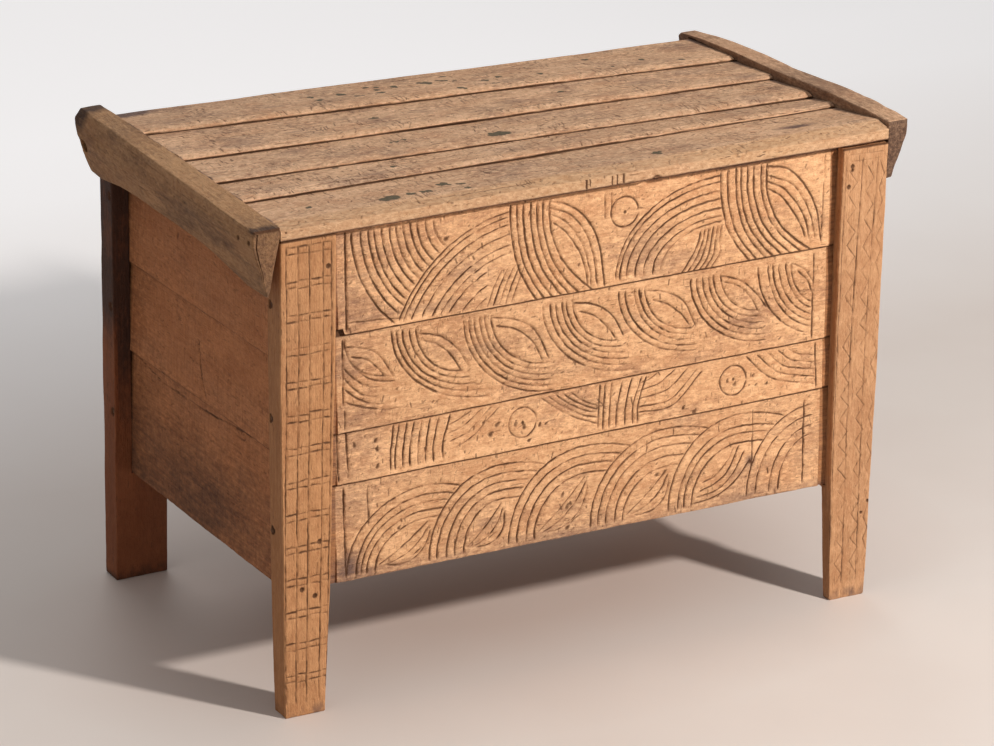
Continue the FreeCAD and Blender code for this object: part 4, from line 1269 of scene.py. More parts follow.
def lid_board(number, step, seed):
    first = number == 1
    last = number == 5
    start = -20.0
    length = WIDTH + 18.0 - start
    lap_rear = 0.0 if first else 12.0
    lap_front = 0.0 if last else 12.4
    widths = [LID_SEAMS[side][number - 1] - LID_SEAMS[side][number] for side in SIDES]
    width = float(np.mean(widths)) + lap_rear
    rims = [-0.1 - start, 0.1 - start, WIDTH - 0.1 - start, WIDTH + 0.1 - start]
    along = spaced(0.0, length, step, rims)
    extra = [] if first else [width - lap_rear]
    extra += [25.0, 30.0] if last else [lap_front - 0.1, lap_front + 0.1]
    across = spaced(0.0, width, step, extra)
    deep = np.array([0.0, 0.6, 1.4, 2.6, 5.0, 9.0, 14.0, 19.0, 22.4, 23.8, 24.5, LID_BOARD_THICK])
    relief = lid_relief(number)

    def place(points, on):
        a, b, c = points.T
        rough = noise(a / 45, b / 60, seed) + 0.6 * noise(a / 11, b / 30, seed + 3)
        radius = np.clip(2.2 + 1.1 * rough, 0.7, 4.0)
        moved = round_off(points, (length, width, LID_BOARD_THICK), radius)
        x = start + moved[:, 0]
        share = moved[:, 0] / length
        front = lid_at(LID_SEAMS, number, share)
        rear = lid_at(LID_SEAMS, number - 1, share)
        wave = 1.0 * noise(x / 90, 0, seed + 5) + 0.5 * noise(x / 17, 0, seed + 6)
        front = front + np.clip(wave, 0, 2)
        q = moved[:, 1]
        middle = width - lap_rear - lap_front
        y = front + lap_front + (q - lap_front) * (rear - front - lap_front) / middle
        y = np.where(q > width - lap_rear, rear + q - (width - lap_rear), y)
        y = np.where(q < lap_front, front + q, y)
        front_thick = lid_at(LID_FRONT, number - 1, share)
        rear_thick = lid_at(LID_REAR, number - 1, share)
        level = LID_LEVEL if last else 0
        slope = unit((y - front - level) / (rear - front - level))
        top = LID_UNDERSIDE + front_thick + (rear_thick - front_thick) * slope
        if last:
            bevel = blend(LID_BEVEL["left"], LID_BEVEL["right"], share)
            lift = blend(LID_LIFT["left"], LID_LIFT["right"], share)
            top = top - bevel * unit(1 - (y - front) / LID_LEVEL) ** 1.3
            bottom = LID_UNDERSIDE + lift * unit(1 - (y - front) / LID_RISE)
        else:
            after = lid_at(LID_REAR, number, share)
            bottom = np.where(b < lap_front, LID_UNDERSIDE + after + 0.4, LID_UNDERSIDE)
            top = top - (3.2 + 0.8 * wave) * unit(1 - (y - front) / 13) ** 1.4
        inward = moved[:, 2] / LID_BOARD_THICK
        hollow, cut, spot = relief.under(moved[:, 2] < 3.2, x, y)
        uneven = 0.8 * fractal(x / 150, y / 45, seed + 20, 2) + 0.28 * noise(x / 60, y / 4.5, seed + 21)
        uneven = np.clip(uneven + 0.45, 0, 2.0) * (1 - inward)
        room = top - bottom
        z = top - np.minimum(np.maximum(inward * room, hollow) + uneven, room)
        left_out = x < 0
        right_out = x > WIDTH
        z = np.where(left_out, np.clip(z, 704.3, 715.7), z)
        z = np.where(right_out, np.clip(z, 699.3, 707.5), z)
        y = np.where(left_out | right_out, np.maximum(y, 7.0 + 0.02 * c), y)
        if last:
            on_front = on[1, 0] | (b < 0.7)
            for place_x, start_z, end_z in LID_EDGE_STROKES:
                stroke = on_front & (np.abs(x - place_x) < 1.3) & (z > start_z) & (z < end_z)
                y = np.where(stroke, y + 1.2, y)
                cut = np.where(stroke, 0.9, cut)
            notch = unit(1 - np.abs(x - 583.0) / 9.0) * (moved[:, 2] > 14) * (b < 8)
            z = z + 4.0 * notch * ramp(moved[:, 2], 14.0, 24.0)
            cut = np.maximum(cut, 0.9 * notch)
        # Painted shadow: a dark band on the top in front of the lap of the board behind, and a dark lower
        # part of each step face; on the front board, the lowest part of its front edge, over the gap above
        # the front wall.
        lap_shade = ramp(width - lap_rear - b, 4.0, 0.0) * (c < 1) * (0.0 if first else 0.95)
        step_shade = 0.62 + 0.3 * noise(x / 70, 0, seed + 11) + 0.25 * noise(x / 19, 0, seed + 12)
        low_edge = ramp(moved[:, 2], 20.5, 24.5) if last else ramp(moved[:, 2], 8.0, 17.0) * step_shade
        lap_shade = np.maximum(lap_shade, low_edge * (b < 3) * 0.95)
        marks = {
            "cut": np.maximum(cut, lap_shade),
            "spot": spot,
            "stain": lid_stain_and_shade(number, x, y) * (1 - inward),
            "worn": ramp(b, 34.0, 22.0) * (c < 20) * (1.0 if last else 0.0),
        }
        return np.stack([x, y, z], 1), marks

    return build_block(f"lid_board_{number}_wood", (along, across, deep), place, {(2, 1): (5, 1)})


# place along the lid's front edge and the heights between which each short upright stroke runs
LID_EDGE_STROKES = (
    (470, 706, 719), (476, 707, 719), (511, 705, 718), (519, 704, 719), (529, 706, 720), (8, 712, 714),
)

# place on the lid, and length and width of each dark green fleck of old paint
LID_SPOTS = (
    (305, 483, 9, 5), (302, 507, 6, 4), (349, 501, 14, 6), (362, 475, 10, 5), (400, 519, 7, 4),
    (416, 514, 9, 4), (407, 499, 8, 4), (403, 480, 11, 5), (439, 504, 10, 5), (487, 500, 19, 9),
    (514, 500, 11, 5), (530, 524, 8, 4), (530, 490, 6, 3), (518, 442, 12, 6), (571, 470, 9, 4),
    (575, 443, 8, 3), (600, 480, 8, 4), (331, 368, 12, 5), (310, 260, 12, 3), (327, 263, 9, 3),
    (460, 231, 20, 10), (448, 226, 12, 6), (257, 165, 7, 4), (182, 196, 6, 3), (283, 71, 13, 6),
    (306, 60, 9, 4), (303, 38, 7, 3), (244, 47, 14, 5), (222, 49, 12, 4), (190, 44, 22, 10),
    (72, 60, 9, 4), (660, 465, 9, 4), (645, 375, 8, 4), (838, 470, 8, 4), (612, 50, 14, 6),
    (765, 510, 9, 4), (778, 450, 8, 3), (890, 440, 8, 3),
)


def scratches(relief, groups, low, high, seed):
    """Groups of near-parallel scratches across the grain."""
    maker = np.random.default_rng(seed)
    for _ in range(groups):
        centre = np.array([maker.uniform(low[0], high[0]), maker.uniform(low[1], high[1])])
        turn = math.radians(maker.normal(98, 12))
        for _ in range(int(maker.integers(3, 10))):
            start = centre + maker.normal(0, 1, 2) * np.array([18.0, 9.0])
            lean = turn + maker.normal(0, 0.1)
            end = start + maker.uniform(5, 17) * np.array([math.cos(lean), math.sin(lean)])
            relief.dent(resample([start, end], 0.7), (1.3, 0.5), (1.35, maker.uniform(0.35, 0.8), 0.6))


def lid_relief(number):
    low = min(LID_SEAMS[side][number] for side in SIDES) - 6
    high = max(LID_SEAMS[side][number - 1] for side in SIDES) + 16
    relief = Relief(-24, 994, low, high, 0.8)
    maker = np.random.default_rng(500 + number)
    for x, y, length, width in LID_SPOTS:
        if low < y < high:
            for _ in range(8):
                place = (x + maker.normal(0, length / 3.6), y + maker.normal(0, width / 2.4))
                relief.stamp(relief.spot, [place], maker.uniform(0.6, 1.25) * width, 1.0, 0.6)
    for crack in range(10):
        y = maker.uniform(low + 12, high - 20)
        x = maker.uniform(0, 850)
        length = maker.uniform(60, 260)
        line = curve([(x, y), (x + length / 2, y + maker.normal(0, 3)), (x + length, y + maker.normal(0, 4))])
        relief.groove(line, 1.2, 0.9, 0.7, 520 + 20 * number + crack, wander=0.8)
    for count, seed, *shape in (
        (200, 540, 7.0, -80, 0.7, 0.7, 1.2),
        (160, 560, 6.0, -50, 0.6, 0.6, 1.1),
        (260, 580, 3.0, -20, 0.6, 0.75, 1.3),
    ):
        sprinkle(relief, count, (0, low), (960, high), seed + number, *shape)
    scratches(relief, 46, (10, low + 8), (950, high - 20), 600 + number)
    return relief


def lid_stain_and_shade(number, x, y):
    stain = 0.12 + 0.26 * fractal(x / 55, y / 32, 640 + number, 3)
    if number == 1:
        stain = np.maximum(stain, blot(x, y, (25, 560), (75, 34)) * 2.0)
    if number == 5:
        stain = np.maximum(stain, blot(x, y, (855, 70), (45, 16)) * 1.2)
        stain = stain * ramp(y, 18, 40)
    # Painted shade: the board ends beside the right cleat are darker, widest towards each board's thin rear
    # edge, and the ends beside the left cleat too.
    front = LID_SEAMS["right"][number]
    slope = unit((y - front) / (LID_SEAMS["right"][number - 1] - front))
    right_end_shade = ramp(x, WIDTH - 5 - 14 * slope, WIDTH - 1) * (0.3 + 0.65 * slope)
    left_end_shade = ramp(x, 4.5, 0.5) * unit(fractal(y / 20, 0, 660 + number, 2) + 0.6)
    return unit(np.maximum(stain, np.maximum(right_end_shade, left_end_shade)))


# groove of each cleat for the tongues: its place up the block, its lowest and highest point, its depth and
# its rear end
CLEAT_GROOVE = {
    "left": ((62.0, 74.0), 704.0, 716.0, 20.0, 568.0),
    "right": ((56.0, 64.8), 699.0, 707.8, 18.0, 548.0),
}
CLEAT_SIZE = (580.0, 88.0, 43.0)


def on_line(line, share):
    """Points at a share of a line's length."""
    steps = np.hypot(*np.diff(line, axis=0).T)
    reached = np.concatenate([[0], np.cumsum(steps)]) / steps.sum()
    return np.stack([np.interp(share, reached, line[:, 0]), np.interp(share, reached, line[:, 1])], 1)


def cleat(side, step, seed):
    length, height, thick = CLEAT_SIZE
    left = side == "left"
    (low_b, high_b), groove_low, groove_high, groove_depth, groove_end = CLEAT_GROOVE[side]
    along = spaced(0.0, length, step, ())
    up = spaced(0.0, height, step, (low_b - 0.1, low_b + 0.1, high_b - 0.1, high_b + 0.1))
    deep = spaced(0.0, thick, 3.5, (2.6, 5.0, 5.6, 6.8, 7.4))
    relief = Relief(-4, 590, 612, 740, 0.8)
    maker = np.random.default_rng(700 + seed)
    for crack in range(9):
        start = maker.uniform(0, 420)
        level = maker.uniform(650, 720)
        ends = [(start, level)]
        ends += [(start + ahead, level + maker.normal(0, sway)) for ahead, sway in ((80, 4), (170, 6))]
        relief.groove(curve(ends), 1.2, 0.8, 0.42, 720 + crack + 10 * seed, wander=0.8)
    sprinkle(relief, 80, (0, 632), (575, 728), 740 + seed, 7.0, -60, 0.6, 0.6, 1.2)
    if left:
        for hole in ((42, 701), (12, 702)):
            nail_hole(relief, hole, 3.2, 4.0)

    bottom_line, top_line, rear_line = (
        np.array(table[side], float) for table in (CLEAT_BOTTOM, CLEAT_TOP, CLEAT_REAR)
    )
    front_line = np.array([bottom_line[0], top_line[0]])

    def patch(t, s):
        """The surface that the four outlines span, at shares of its length and height."""
        low = on_line(bottom_line, t)
        high = on_line(top_line, t)
        near = on_line(front_line, s)
        far = on_line(rear_line, s)
        t = t[:, None]
        s = s[:, None]
        corners = (
            (1 - t) * (1 - s) * bottom_line[0]
            + t * (1 - s) * bottom_line[-1]
            + (1 - t) * s * top_line[0]
            + t * s * top_line[-1]
        )
        return (1 - s) * low + s * high + (1 - t) * near + t * far - corners

    def place(points, on):
        a, b, c = points.T
        rough = noise(a / 50, b / 40 + c / 30, seed) + 0.6 * noise(a / 12, b / 20 + c / 15, seed + 3)
        radius = np.clip(2.8 + 1.2 * rough, 1.0, 5.0)
        moved = round_off(points, CLEAT_SIZE, radius)
        t = moved[:, 0] / length
        low_z = on_line(bottom_line, t)[:, 1]
        high_z = on_line(top_line, t)[:, 1]
        s_low = np.clip((groove_low - low_z) / (high_z - low_z), 0.05, 0.9)
        s_high = np.clip((groove_high - low_z) / (high_z - low_z), s_low + 0.02, 0.97)
        q = moved[:, 1]
        s = s_high + (q - high_b) / (height - high_b) * (1 - s_high)
        s = np.where(q < high_b, s_low + (q - low_b) / (high_b - low_b) * (s_high - s_low), s)
        s = np.where(q < low_b, q / low_b * s_low, s)
        y, z = patch(t, s).T
        outer = np.minimum(through(CLEAT_OUTER[side], z), through(CLEAT_PLAN[side], y))
        inner = through(CLEAT_INNER[side], z)
        if left:
            wear = ramp(y, 505, 560)
            outer = outer - wear * (0.6 + 3.0 * unit(1 - np.abs(z - 682) / 34))
            outer = outer - wear * 5.0 * ramp(z, 712, 731)
        else:
            shoulder = ramp(y, 30, 70) * (1 - ramp(y, 190, 300))
            outer = outer - shoulder * 5.0 * ramp(z, 716, 732)
            outer = outer - ramp(y, 470, 570) * 6.0 * ramp(z, 690, 715)
        outer = np.maximum(outer, inner + 2.5)
        inward = moved[:, 2] / thick
        hollow, cut, _ = relief.under(moved[:, 2] < 4.0, y, z)
        uneven = 0.9 * fractal(y / 120, z / 30, seed + 20, 2) + 0.25 * noise(y / 45, z / 4, seed + 21)
        uneven = np.clip(uneven + 0.5, 0, 2.2) * (1 - inward)
        room = outer - inner
        reach = outer - np.minimum(np.maximum(inward * room, hollow) + uneven, room)
        in_groove = on[2, 1] & (b > low_b) & (b < high_b) & (y < groove_end) & (y > 6)
        reach = np.where(in_groove, 0.6 + groove_depth, reach)
        top_wear = 0.6 * np.clip(fractal(y / 60, reach / 30, seed + 60, 2) + 0.4, 0, 2)
        z = z - top_wear * ramp(s, 0.8, 1.0)
        stain = 0.25 + 0.25 * fractal(y / 90, z / 25, seed + 61, 3)
        if left:
            # Painted shade: a dark band along the top of the inner face beside the lid boards.
            dirt_and_shade = ramp(inward, 0.9, 0.98) * ramp(s, 0.96, 0.995) * ramp(y, 150, 260)
            dirt_and_shade = 1.3 * (dirt_and_shade * unit(fractal(y / 22, 0, seed + 66, 2) + 0.55))
            # A black stain at the rear top, the front end face darkened as painted shade, and a darker spot
            # at the top front.
            black = blot(y, z, (585, 725), (55, 42)) * 2.4
            for layer in (black, blot(y, z, (0, 722), (26, 9)) * 1.5, 0.62 * on[0, 0], dirt_and_shade):
                stain = np.maximum(stain, layer)
            crack = on[0, 0] & (np.abs(c - 6.2) < 0.9) & (s < 0.95)
            y = np.where(crack, y + 1.2, y)
            cut = np.maximum(cut, crack * 1.0)
            # A darker band at the top of the front end face.
            cut = np.maximum(cut, on[0, 0] * ramp(z, 714, 720) * 0.8)
        else:
            # The front end face is darker, and the inner face beside the lid boards is darkened as painted
            # shade.
            stain = np.maximum(stain, 0.85 * on[0, 0])
            stain = np.maximum(stain, 0.62 * (inward > 0.97) * (s < 0.985))
        marks = {
            "cut": cut,
            "stain": unit(stain),
            "worn": ramp(s, 0.93, 1.0) * 0.35 * (inward < 0.2),
            "aged": ramp(s, 0.99, 0.9) * 0.25,
        }
        return np.stack([-reach if left else WIDTH + reach, y, z], 1), marks

    mesh = build_block(f"{side}_lid_cleat_wood", (along, up, deep), place)
    return bore(mesh, side)


def rod_mesh(base, direction, length, radius, seed, facets=20, chamfer=1.0, rings=6):
    """A round rod, slightly out of round and with softened ends. base and length are in chest millimetres."""
    direction = np.asarray(direction, float)
    helper = np.array([0.0, 0.0, 1.0]) if abs(direction[2]) < 0.9 else np.array([1.0, 0.0, 0.0])
    side = np.cross(direction, helper)
    side /= np.linalg.norm(side)
    up = np.cross(direction, side)
    stops = [(0.0, 0.35), (0.15, 0.75), (chamfer, 1.0)]
    stops += [(float(stop), 1.0) for stop in np.linspace(chamfer, length - chamfer, rings)[1:-1]]
    stops += [(length - chamfer, 1.0), (length - 0.15, 0.75), (length, 0.35)]
    turn = np.linspace(0, 2 * np.pi, facets, endpoint=False)
    points = []
    for along, size in stops:
        wobble = 1 - 0.012 * (1 + noise(np.cos(turn) * 2 + seed, np.sin(turn) * 2 + along / 9, seed))
        ring = radius * size * wobble
        hub = np.asarray(base) + direction * along
        points.append(hub + side * (ring * np.cos(turn))[:, None] + up * (ring * np.sin(turn))[:, None])
    faces = []
    for number in range(len(stops) - 1):
        low = number * facets
        high = low + facets
        for facet in range(facets):
            following = (facet + 1) % facets
            faces.append((low + facet, low + following, high + following, high + facet))
    first = tuple(range(facets))[::-1]
    last = tuple((len(stops) - 1) * facets + facet for facet in range(facets))
    return np.concatenate(points), faces, [first, last]


def rods(name, entries):
    """One mesh with a rod for each entry of base, direction, length, radius and seed."""
    all_points = []
    quads = []
    caps = []
    offset = 0
    for entry in entries:
        points, faces, ends = rod_mesh(*entry)
        all_points.append(points)
        quads += [tuple(index + offset for index in face) for face in faces]
        caps += [np.array(end) + offset for end in ends]
        offset += len(points)
    points = to_frame(np.concatenate(all_points))
    mesh = make_mesh(name, points, np.array(quads), caps, {"cut": 0.0, "stain": 0.35})
    return outward(mesh)


def outward(mesh):
    shell = bmesh.new()
    shell.from_mesh(mesh)
    bmesh.ops.recalc_face_normals(shell, faces=shell.faces)
    shell.to_mesh(mesh)
    shell.free()
    return mesh


def cut_from(mesh, cutter_mesh):
    """Takes one mesh out of another and returns the result."""
    solid = bpy.data.objects.new("solid", mesh)
    cutter = bpy.data.objects.new("cutter", cutter_mesh)
    for item in (solid, cutter):
        bpy.context.scene.collection.objects.link(item)
    modifier = solid.modifiers.new("cut", "BOOLEAN")
    modifier.operation = "DIFFERENCE"
    modifier.solver = "EXACT"
    modifier.object = cutter
    view = bpy.context.evaluated_depsgraph_get()
    result = bpy.data.meshes.new_from_object(solid.evaluated_get(view), depsgraph=view)
    result.name = mesh.name
    for item in (solid, cutter):
        bpy.data.objects.remove(item)
    return result


def bore(mesh, side):
    """Cuts the exact round hole for the hinge pin."""
    start = -50.0 if side == "left" else WIDTH - 5.0
    base = np.array([start, *PIN_PLACE])
    points, faces, ends = rod_mesh(base, (1.0, 0.0, 0.0), 55.0, PIN_HOLE_RADIUS / 0.976, 5, 48, 0.1, 3)
    cutter = make_mesh("bore", to_frame(points), np.array(faces), [np.array(end) for end in ends], {})
    result = cut_from(mesh, outward(cutter))
    result.set_sharp_from_angle(angle=SHARP_ANGLE)
    return result


FLOOR_TOP = 218.0
FLOOR_THICK = 14.0
BOX_FACES = ((0, 1, 3, 2), (4, 6, 7, 5), (0, 4, 5, 1), (2, 3, 7, 6), (0, 2, 6, 4), (1, 5, 7, 3))


def floor_board(number, seed):
    in_groove = 20.0 / 2 - 5.0 + 0.6
    first = WALL_CENTRE + in_groove
    last = DEPTH - WALL_CENTRE - in_groove
    low_y = first + (last - first) * (number - 1) / 4 + 0.3
    high_y = first + (last - first) * number / 4 - 0.3
    low_x = SIDE_CENTRE + in_groove
    length = WIDTH - SIDE_CENTRE - in_groove - low_x
    width = high_y - low_y
    along = spaced(0.0, length, 5.0)
    across = spaced(0.0, width, 3.0)
    deep = np.array([0.0, 0.6, 1.4, 3.0, 7.0, 11.0, 12.6, 13.4, FLOOR_THICK])

    def place(points, on):
        a, b = points[:, 0], points[:, 1]
        radius = np.clip(1.5 + 0.7 * noise(a / 40, b / 40, seed), 0.6, 2.5)
        moved = round_off(points, (length, width, FLOOR_THICK), radius)
        x = low_x + moved[:, 0]
        y = low_y + moved[:, 1]
        uneven = 0.7 * fractal(x / 140, y / 30, seed + 20, 2) + 0.3 * noise(x / 50, y / 5, seed + 21)
        z = FLOOR_TOP - moved[:, 2] - np.clip(uneven + 0.4, 0, 1.6) * (1 - moved[:, 2] / FLOOR_THICK)
        stain = 0.35 + 0.3 * fractal(x / 120, y / 50, seed + 22, 3)
        return np.stack([x, y, z], 1), {"stain": unit(stain), "worn": 0.0}

    mesh = build_block(f"floor_board_{number}_wood", (along, across, deep), place, {(2, 1): (6, 6)})
    row = {1: "front", 4: "rear"}.get(number)
    if not row:
        return mesh
    for side in SIDES:
        insets = (-5.0, POST_SHAPES[f"{row}_{side}"][0] + 2.0)
        depths = (-5.0, POST_THICKNESS + 2.0)
        points = [(side_x(side, x), row_y(row, y), z) for x in insets for y in depths for z in (190.0, 230.0)]
        cutter = make_mesh("notch", to_frame(np.array(points)), np.array(BOX_FACES), [], {})
        mesh = cut_from(mesh, outward(cutter))
    mesh.set_sharp_from_angle(angle=SHARP_ANGLE)
    return mesh


# Build everything

# steps of the surface grids
FINE = (1.38, 1.23)
POST_STEP = 1.5
LID_STEP = 1.6
CLEAT_STEP = 2.2
MIDDLE = 2.2
COARSE = 4.0

SIDE_CRACKS = {
    ("left", 1): (([(377, 592), (378, 583)], 1.0), ([(360, 590), (361, 584)], 0.9)),
    ("left", 2): ((curve([(314, 453), (301, 410), (283, 374)]), 0.9),),
    ("left", 3): (
        (curve([(520, 356), (440, 347), (350, 348), (262, 353), (206, 360), (150, 363)]), 0.9),
        (arc((186, 354), (17, 6), 20, 330), 0.8),
    ),
}


def front_stain_and_shade(number):
    def stain(x, z, inward):
        low = ramp(z, 215, 185) * 0.35
        inside = ramp(inward, 0.55, 0.8) * 0.45
        patch = 0.0
        if number == 1:
            # Painted shadow of the lid's front edge along the top of the top board.
            low = np.maximum(low, ramp(z, 692, 697.5) * 0.85)
            patch = blot(x, z, (235, 566), (110, 14)) * 0.45
        if number == 4:
            patch = blot(x, z, (765, 243), (12, 14)) * 0.7
            patch = np.maximum(patch, blot(x, z, (112, 205), (34, 46)) * 0.75)
        left = 0.34 if number == 1 else 0.2
        soil = 0.09 + 0.2 * fractal(x / 95, z / 38, 830 + number, 3) + left * ramp(x, 200, 95)
        return unit(np.maximum(np.maximum(low, inside), patch) + np.clip(soil, 0, 0.4))

    return stain


def side_stain(number):
    def stain(y, z, inward):
        low = ramp(z, 400, 185) * 0.55 * (0.6 + 0.4 * ramp(y, 60, 260))
        rear = ramp(y, 400, 540) * 0.16
        cloudy = 0.08 + 0.13 * fractal(y / 70, z / 60, 810 + number, 3)
        return unit(low + rear + cloudy) * (1 - 0.6 * ramp(inward, 0.5, 0.9))

    return stain


def back_stain(x, z, inward):
    return unit(0.3 + 0.3 * fractal(x / 130, z / 50, 820, 3) + ramp(z, 300, 200) * 0.3)


for number, share in enumerate((1.0, 0.94, 1.0, 0.97), 1):
    material = wood(
        f"carved_wood_{number}",
        "x",
        tinted(LIGHT_PINE, share, share, share),
        DARK_PINE,
        PURPLE_STAIN_AND_SHADE,
        number,
        grey=0.12,
        streak=0.22,
        ticks=0.4,
        mottle=0.8,
        hair=0.38,
    )
    name = f"front_board_{number}"
    relief = front_board_relief(number)
    mesh = wall_board(f"{name}_wood", "front", number, FINE, relief, (6, 6), 10 * number, front_stain_and_shade(number))
    add_piece(f"carved_{name}", mesh, "carcass", material, "carved_wood", name)
    material = wood(f"back_wood_{number}", "x", WALL_LIGHT, WALL_DARK, WALL_STAIN_AND_SHADE, 20 + number)
    name = f"back_board_{number}"
    seed = 200 + 10 * number
    mesh = wall_board(f"{name}_wood", "rear", number, (COARSE, COARSE), None, (1, 1), seed, back_stain)
    add_piece(f"riven_{name}", mesh, "carcass", material, "wall_wood", name)

for side in SIDES:
    for number in range(1, 4):
        seed = 300 + 10 * number + (100 if side == "right" else 0)
        material = wood(
            f"side_wood_{side}_{number}",
            "y",
            WALL_LIGHT,
            WALL_DARK,
            WALL_STAIN_AND_SHADE,
            30 + seed / 50,
            grey=0.2,
            hair=0.3,
            streak=0.25,
            mottle=0.5,
            ticks=0.4,
            hatch=0.55,
        )
        relief = Relief(20, 560, 160, 710, 0.8)
        sprinkle(relief, 520, (40, 175), (540, 700), seed + 5, 9.0, -82, 0.5, 0.6, 1.2)
        sprinkle(relief, 200, (40, 175), (540, 700), seed + 6, 4.0, 0, 0.5, 0.6, 1.2)
        for line, strength in SIDE_CRACKS.get((side, number), ()):
            relief.groove(line, 1.9, 1.4 * strength, strength, seed + 7)
        node = f"{side}_side_board_{number}"
        steps = (MIDDLE, MIDDLE)
        mesh = wall_board(f"{node}_wood", side, number, steps, relief, (3, 3), seed, side_stain(number))
        add_piece(f"riven_{side}_board_{number}", mesh, "carcass", material, "wall_wood", node)

# row, side, relief, light and dark wood and stain of each post
POSTS = (
    ("front", "left", plaid_relief(), tinted(LIGHT_PINE, 0.68, 0.59, 0.50), DARK_PINE, PURPLE_STAIN_AND_SHADE),
    ("front", "right", zigzag_relief(), tinted(LIGHT_PINE, 0.72, 0.68, 0.66), DARK_PINE, PURPLE_STAIN_AND_SHADE),
    ("rear", "left", plain_post_relief(91), REAR_LIGHT, REAR_DARK, WALL_STAIN_AND_SHADE),
    (
        "rear",
        "right",
        plain_post_relief(92),
        tinted(WALL_LIGHT, 0.78, 0.80, 0.82),
        tinted(WALL_DARK, 0.78, 0.80, 0.82),
        WALL_STAIN_AND_SHADE,
    ),
)
for index, (row, side, relief, *colours) in enumerate(POSTS):
    carved = row == "front"
    lines = {"hair": 0.45, "mottle": 0.6} if carved else {"hair": 0.25, "mottle": 0.35}
    material = wood(f"post_wood_{row}_{side}", "z", *colours, 50 + index, grey=0.12, streak=0.3, **lines)
    mesh = post(row, side, relief, POST_STEP if carved else MIDDLE, 900 + 10 * index)
    slot = "carved_wood" if carved else "wall_wood"
    add_piece(f"{row}_{side}_plank_post", mesh, "carcass", material, slot, f"{row}_{side}_post")

for number in range(1, 5):
    material = wood(f"floor_wood_{number}", "x", FLOOR_LIGHT, FLOOR_DARK, WALL_STAIN_AND_SHADE, 60 + number)
    mesh = floor_board(number, 1000 + number)
    add_piece(f"floor_plank_{number}", mesh, "carcass", material, "floor_wood", f"floor_board_{number}")

for number, share in enumerate((1.0, 1.0, 0.98, 0.96, 0.97), 1):
    material = wood(
        f"lid_wood_{number}",
        "x",
        tinted(LID_LIGHT, share, share, share),
        LID_DARK,
        PURPLE_STAIN_AND_SHADE,
        70 + number,
        grey=0.38,
        streak=0.2,
        speck=0.7,
        mottle=0.8,
        ticks=0.45,
        tick_axis="y",
        bare=LID_BARE,
        hair=0.18,
        spread=1.3,
    )
    mesh = lid_board(number, LID_STEP, 1100 + 10 * number)
    add_piece(f"lapped_lid_board_{number}", mesh, "lid", material, "lid_wood", f"lid_board_{number}")

for index, side in enumerate(SIDES):
    material = wood(
        f"cleat_wood_{side}",
        "y",
        CLEAT_LIGHT[side],
        CLEAT_DARK,
        WALL_STAIN_AND_SHADE,
        80 + index,
        grey=0.15,
        streak=0.22,
        speck=0.45,
        roughness=1.1,
        hair=0.2,
    )
    mesh = cleat(side, CLEAT_STEP, 1200 + 50 * index)
    add_piece(f"{side}_end_cleat", mesh, "lid", material, "lid_wood", f"{side}_lid_cleat")

# Pegs and pins

peg_material = wood("peg_wood", "z", PEG_LIGHT, PEG_DARK, WALL_STAIN_AND_SHADE, 90)


def add_rods(node, body, entries):
    add_piece(f"whittled_{node}", rods(f"{node}_wood", entries), body, peg_material, "peg_wood", node)


for row, node in (("front", "front_wall_pegs"), ("rear", "back_wall_pegs")):
    entries = []
    way = (0.0, 1.0 if row == "front" else -1.0, 0.0)
    for side in SIDES:
        for index, height in enumerate(peg_heights(row, side)):
            base = (side_x(side, PEG_INSET[side]), row_y(row, 2.2), height)
            entries.append((base, way, POST_THICKNESS - 4.5, PEG_RADIUS, 7 * index + 3))
    add_rods(node, "carcass", entries)
for side in SIDES:
    entries = []
    way = (1.0 if side == "left" else -1.0, 0.0, 0.0)
    for row in ROWS:
        for index, height in enumerate(peg_heights(side, row)):
            base = (side_x(side, 2.5), row_y(row, SIDE_PEG_INSET), height)
            entries.append((base, way, 50.0, PEG_RADIUS, 11 * index + 4))
    add_rods(f"{side}_side_pegs", "carcass", entries)
    reach = 20.0 if side == "left" else 17.0
    start = -reach if side == "left" else WIDTH - PIN_IN_POST
    pin = ((start, *PIN_PLACE), (1.0, 0.0, 0.0), PIN_IN_POST + reach, PIN_RADIUS, 17)
    add_rods(f"{side}_hinge_pin", "carcass", [pin])
    entries = []
    for number in range(1, 6):
        y = (LID_SEAMS[side][number - 1] + LID_SEAMS[side][number]) / 2
        top = float(through(CLEAT_TOP[side], y)) - 1.6
        base = (side_x(side, -11.0), y, LID_PEG_LOW)
        entries.append((base, (0.0, 0.0, 1.0), top - LID_PEG_LOW, PEG_RADIUS, 5 * number))
    add_rods(f"{side}_lid_pegs", "lid", entries)

# Stage, light and camera

floor_mesh = bpy.data.meshes.new("studio_floor")
FLOOR_HALF = 40.0
floor_corners = [(x * FLOOR_HALF, y * FLOOR_HALF, 0) for x, y in ((-1, -1), (1, -1), (1, 1), (-1, 1))]
floor_mesh.from_pydata(floor_corners, [], [(0, 1, 2, 3)])
studio_floor = bpy.data.objects.new("studio_floor", floor_mesh)
bpy.context.scene.collection.objects.link(studio_floor)
paint = Nodes("floor_paint")
spot = paint.add("ShaderNodeTexCoord").outputs["Object"]
cloud = paint.noise(spot, 1.3, 4.0)
tint = paint.mix(paint.stretch(cloud, 0.35, 0.7), (0.71, 0.635, 0.59, 1), (0.76, 0.70, 0.66, 1))
flat = paint.mapped(spot, (1.0, 1.5, 1.0))
near = paint.add("ShaderNodeVectorMath", {0: flat}, operation="LENGTH").outputs["Value"]
# Painted shadow with warm bounce on the floor under and round the chest.
tint = paint.mix(paint.stretch(near, 0.78, 0.22, 0.0, 0.6), tint, (0.54, 0.38, 0.31, 1))
depth = paint.add("ShaderNodeSeparateXYZ", {"Vector": spot}).outputs["Y"]
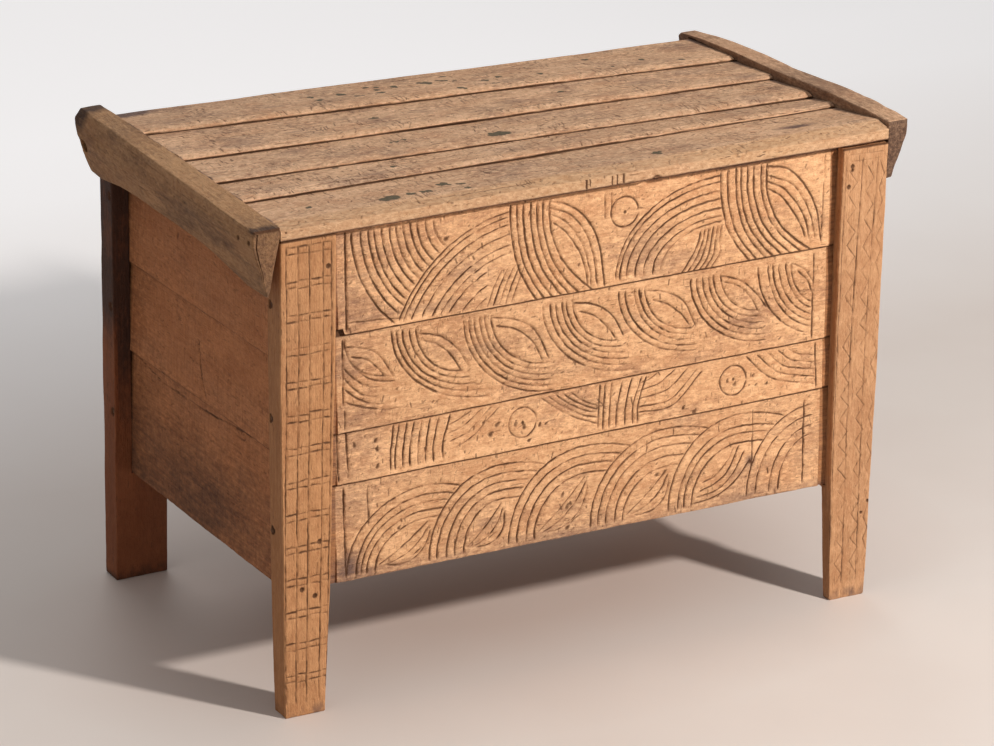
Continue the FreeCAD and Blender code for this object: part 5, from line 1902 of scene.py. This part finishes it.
# Painted light: the floor turns paler towards the back, against the lamps' falloff.
tint = paint.mix(paint.stretch(depth, 0.6, 1.9), tint, (1.0, 0.985, 0.99, 1))
tint = paint.mix(paint.stretch(depth, -1.3, -3.0), tint, (0.34, 0.31, 0.295, 1))
surface = paint.add("ShaderNodeBsdfPrincipled", {"Base Color": tint})
surface.inputs["Roughness"].default_value = 0.55
rays = paint.add("ShaderNodeLightPath").outputs
seen = rays["Is Camera Ray"]
for kind in ("Is Glossy Ray", "Is Transmission Ray"):
    seen = paint.math("MAXIMUM", seen, rays[kind])
glow = paint.times(seen, paint.stretch(depth, 0.3, 2.2, 0.0, 0.2))
surface.inputs["Emission Color"].default_value = (0.90, 0.94, 1.0, 1)
paint.join(glow, surface.inputs["Emission Strength"])
paint.join(surface.outputs[0], paint.add("ShaderNodeOutputMaterial").inputs["Surface"])
floor_mesh.materials.append(paint.material)


def area_light(name, place, aim, size, power, colour):
    lamp = bpy.data.lights.new(name, "AREA")
    lamp.shape = "DISK"
    lamp.size = size
    lamp.energy = power
    lamp.color = colour
    item = bpy.data.objects.new(name, lamp)
    bpy.context.scene.collection.objects.link(item)
    item.location = place
    item.rotation_euler = (Vector(aim) - Vector(place)).to_track_quat("-Z", "Y").to_euler()


area_light("key_light", (1.86, -3.43, 2.735), (0, 0, 0.4), 0.34, 212, (1.0, 0.965, 0.92))
area_light("fill_light", (-3.5, -1.0, 3.4), (0, 0, 0.3), 3.5, 18, (1.0, 0.97, 0.94))
area_light("back_light", (0.5, 4.2, 3.6), (0, 0, 0.4), 3.5, 52, (1.0, 0.98, 0.96))

world = bpy.data.worlds.new("studio_air")
bpy.context.scene.world = world
world.use_nodes = True
sky = world.node_tree.nodes["Background"]
sky.inputs["Color"].default_value = (1.0, 0.97, 0.95, 1.0)
sky.inputs["Strength"].default_value = 0.26

# camera, fitted to the chest's corners in the photograph
PHOTO_WIDTH = 994
FOCAL_LENGTH = 4551.93
SENSOR = 36.0
AZIMUTH = 0.516157
ELEVATION = 0.366366
ROLL = 0.0187214
DISTANCE = 6.46175
AIM = (416.134, 145.111, 393.761)

camera_data = bpy.data.cameras.new("photo_camera")
camera_data.sensor_width = SENSOR
camera_data.lens = FOCAL_LENGTH / PHOTO_WIDTH * SENSOR
camera = bpy.data.objects.new("photo_camera", camera_data)
bpy.context.scene.collection.objects.link(camera)
aim = Vector((AIM[0] - WIDTH / 2, AIM[1] - DEPTH / 2, AIM[2])) * MILLIMETRE
level = math.cos(ELEVATION)
back = Vector((-math.sin(AZIMUTH) * level, -math.cos(AZIMUTH) * level, math.sin(ELEVATION)))
right = (-back).cross(Vector((0, 0, 1))).normalized()
up = right.cross(-back)
turned_right = right * math.cos(ROLL) + up * math.sin(ROLL)
turned_up = -right * math.sin(ROLL) + up * math.cos(ROLL)
camera.matrix_world = Matrix(
    (
        (turned_right.x, turned_up.x, back.x, 0),
        (turned_right.y, turned_up.y, back.y, 0),
        (turned_right.z, turned_up.z, back.z, 0),
        (0, 0, 0, 1),
    )
)
camera.location = aim + back * DISTANCE
camera_data.clip_end = 200
bpy.context.scene.camera = camera
bpy.context.scene.view_settings.view_transform = "Standard"
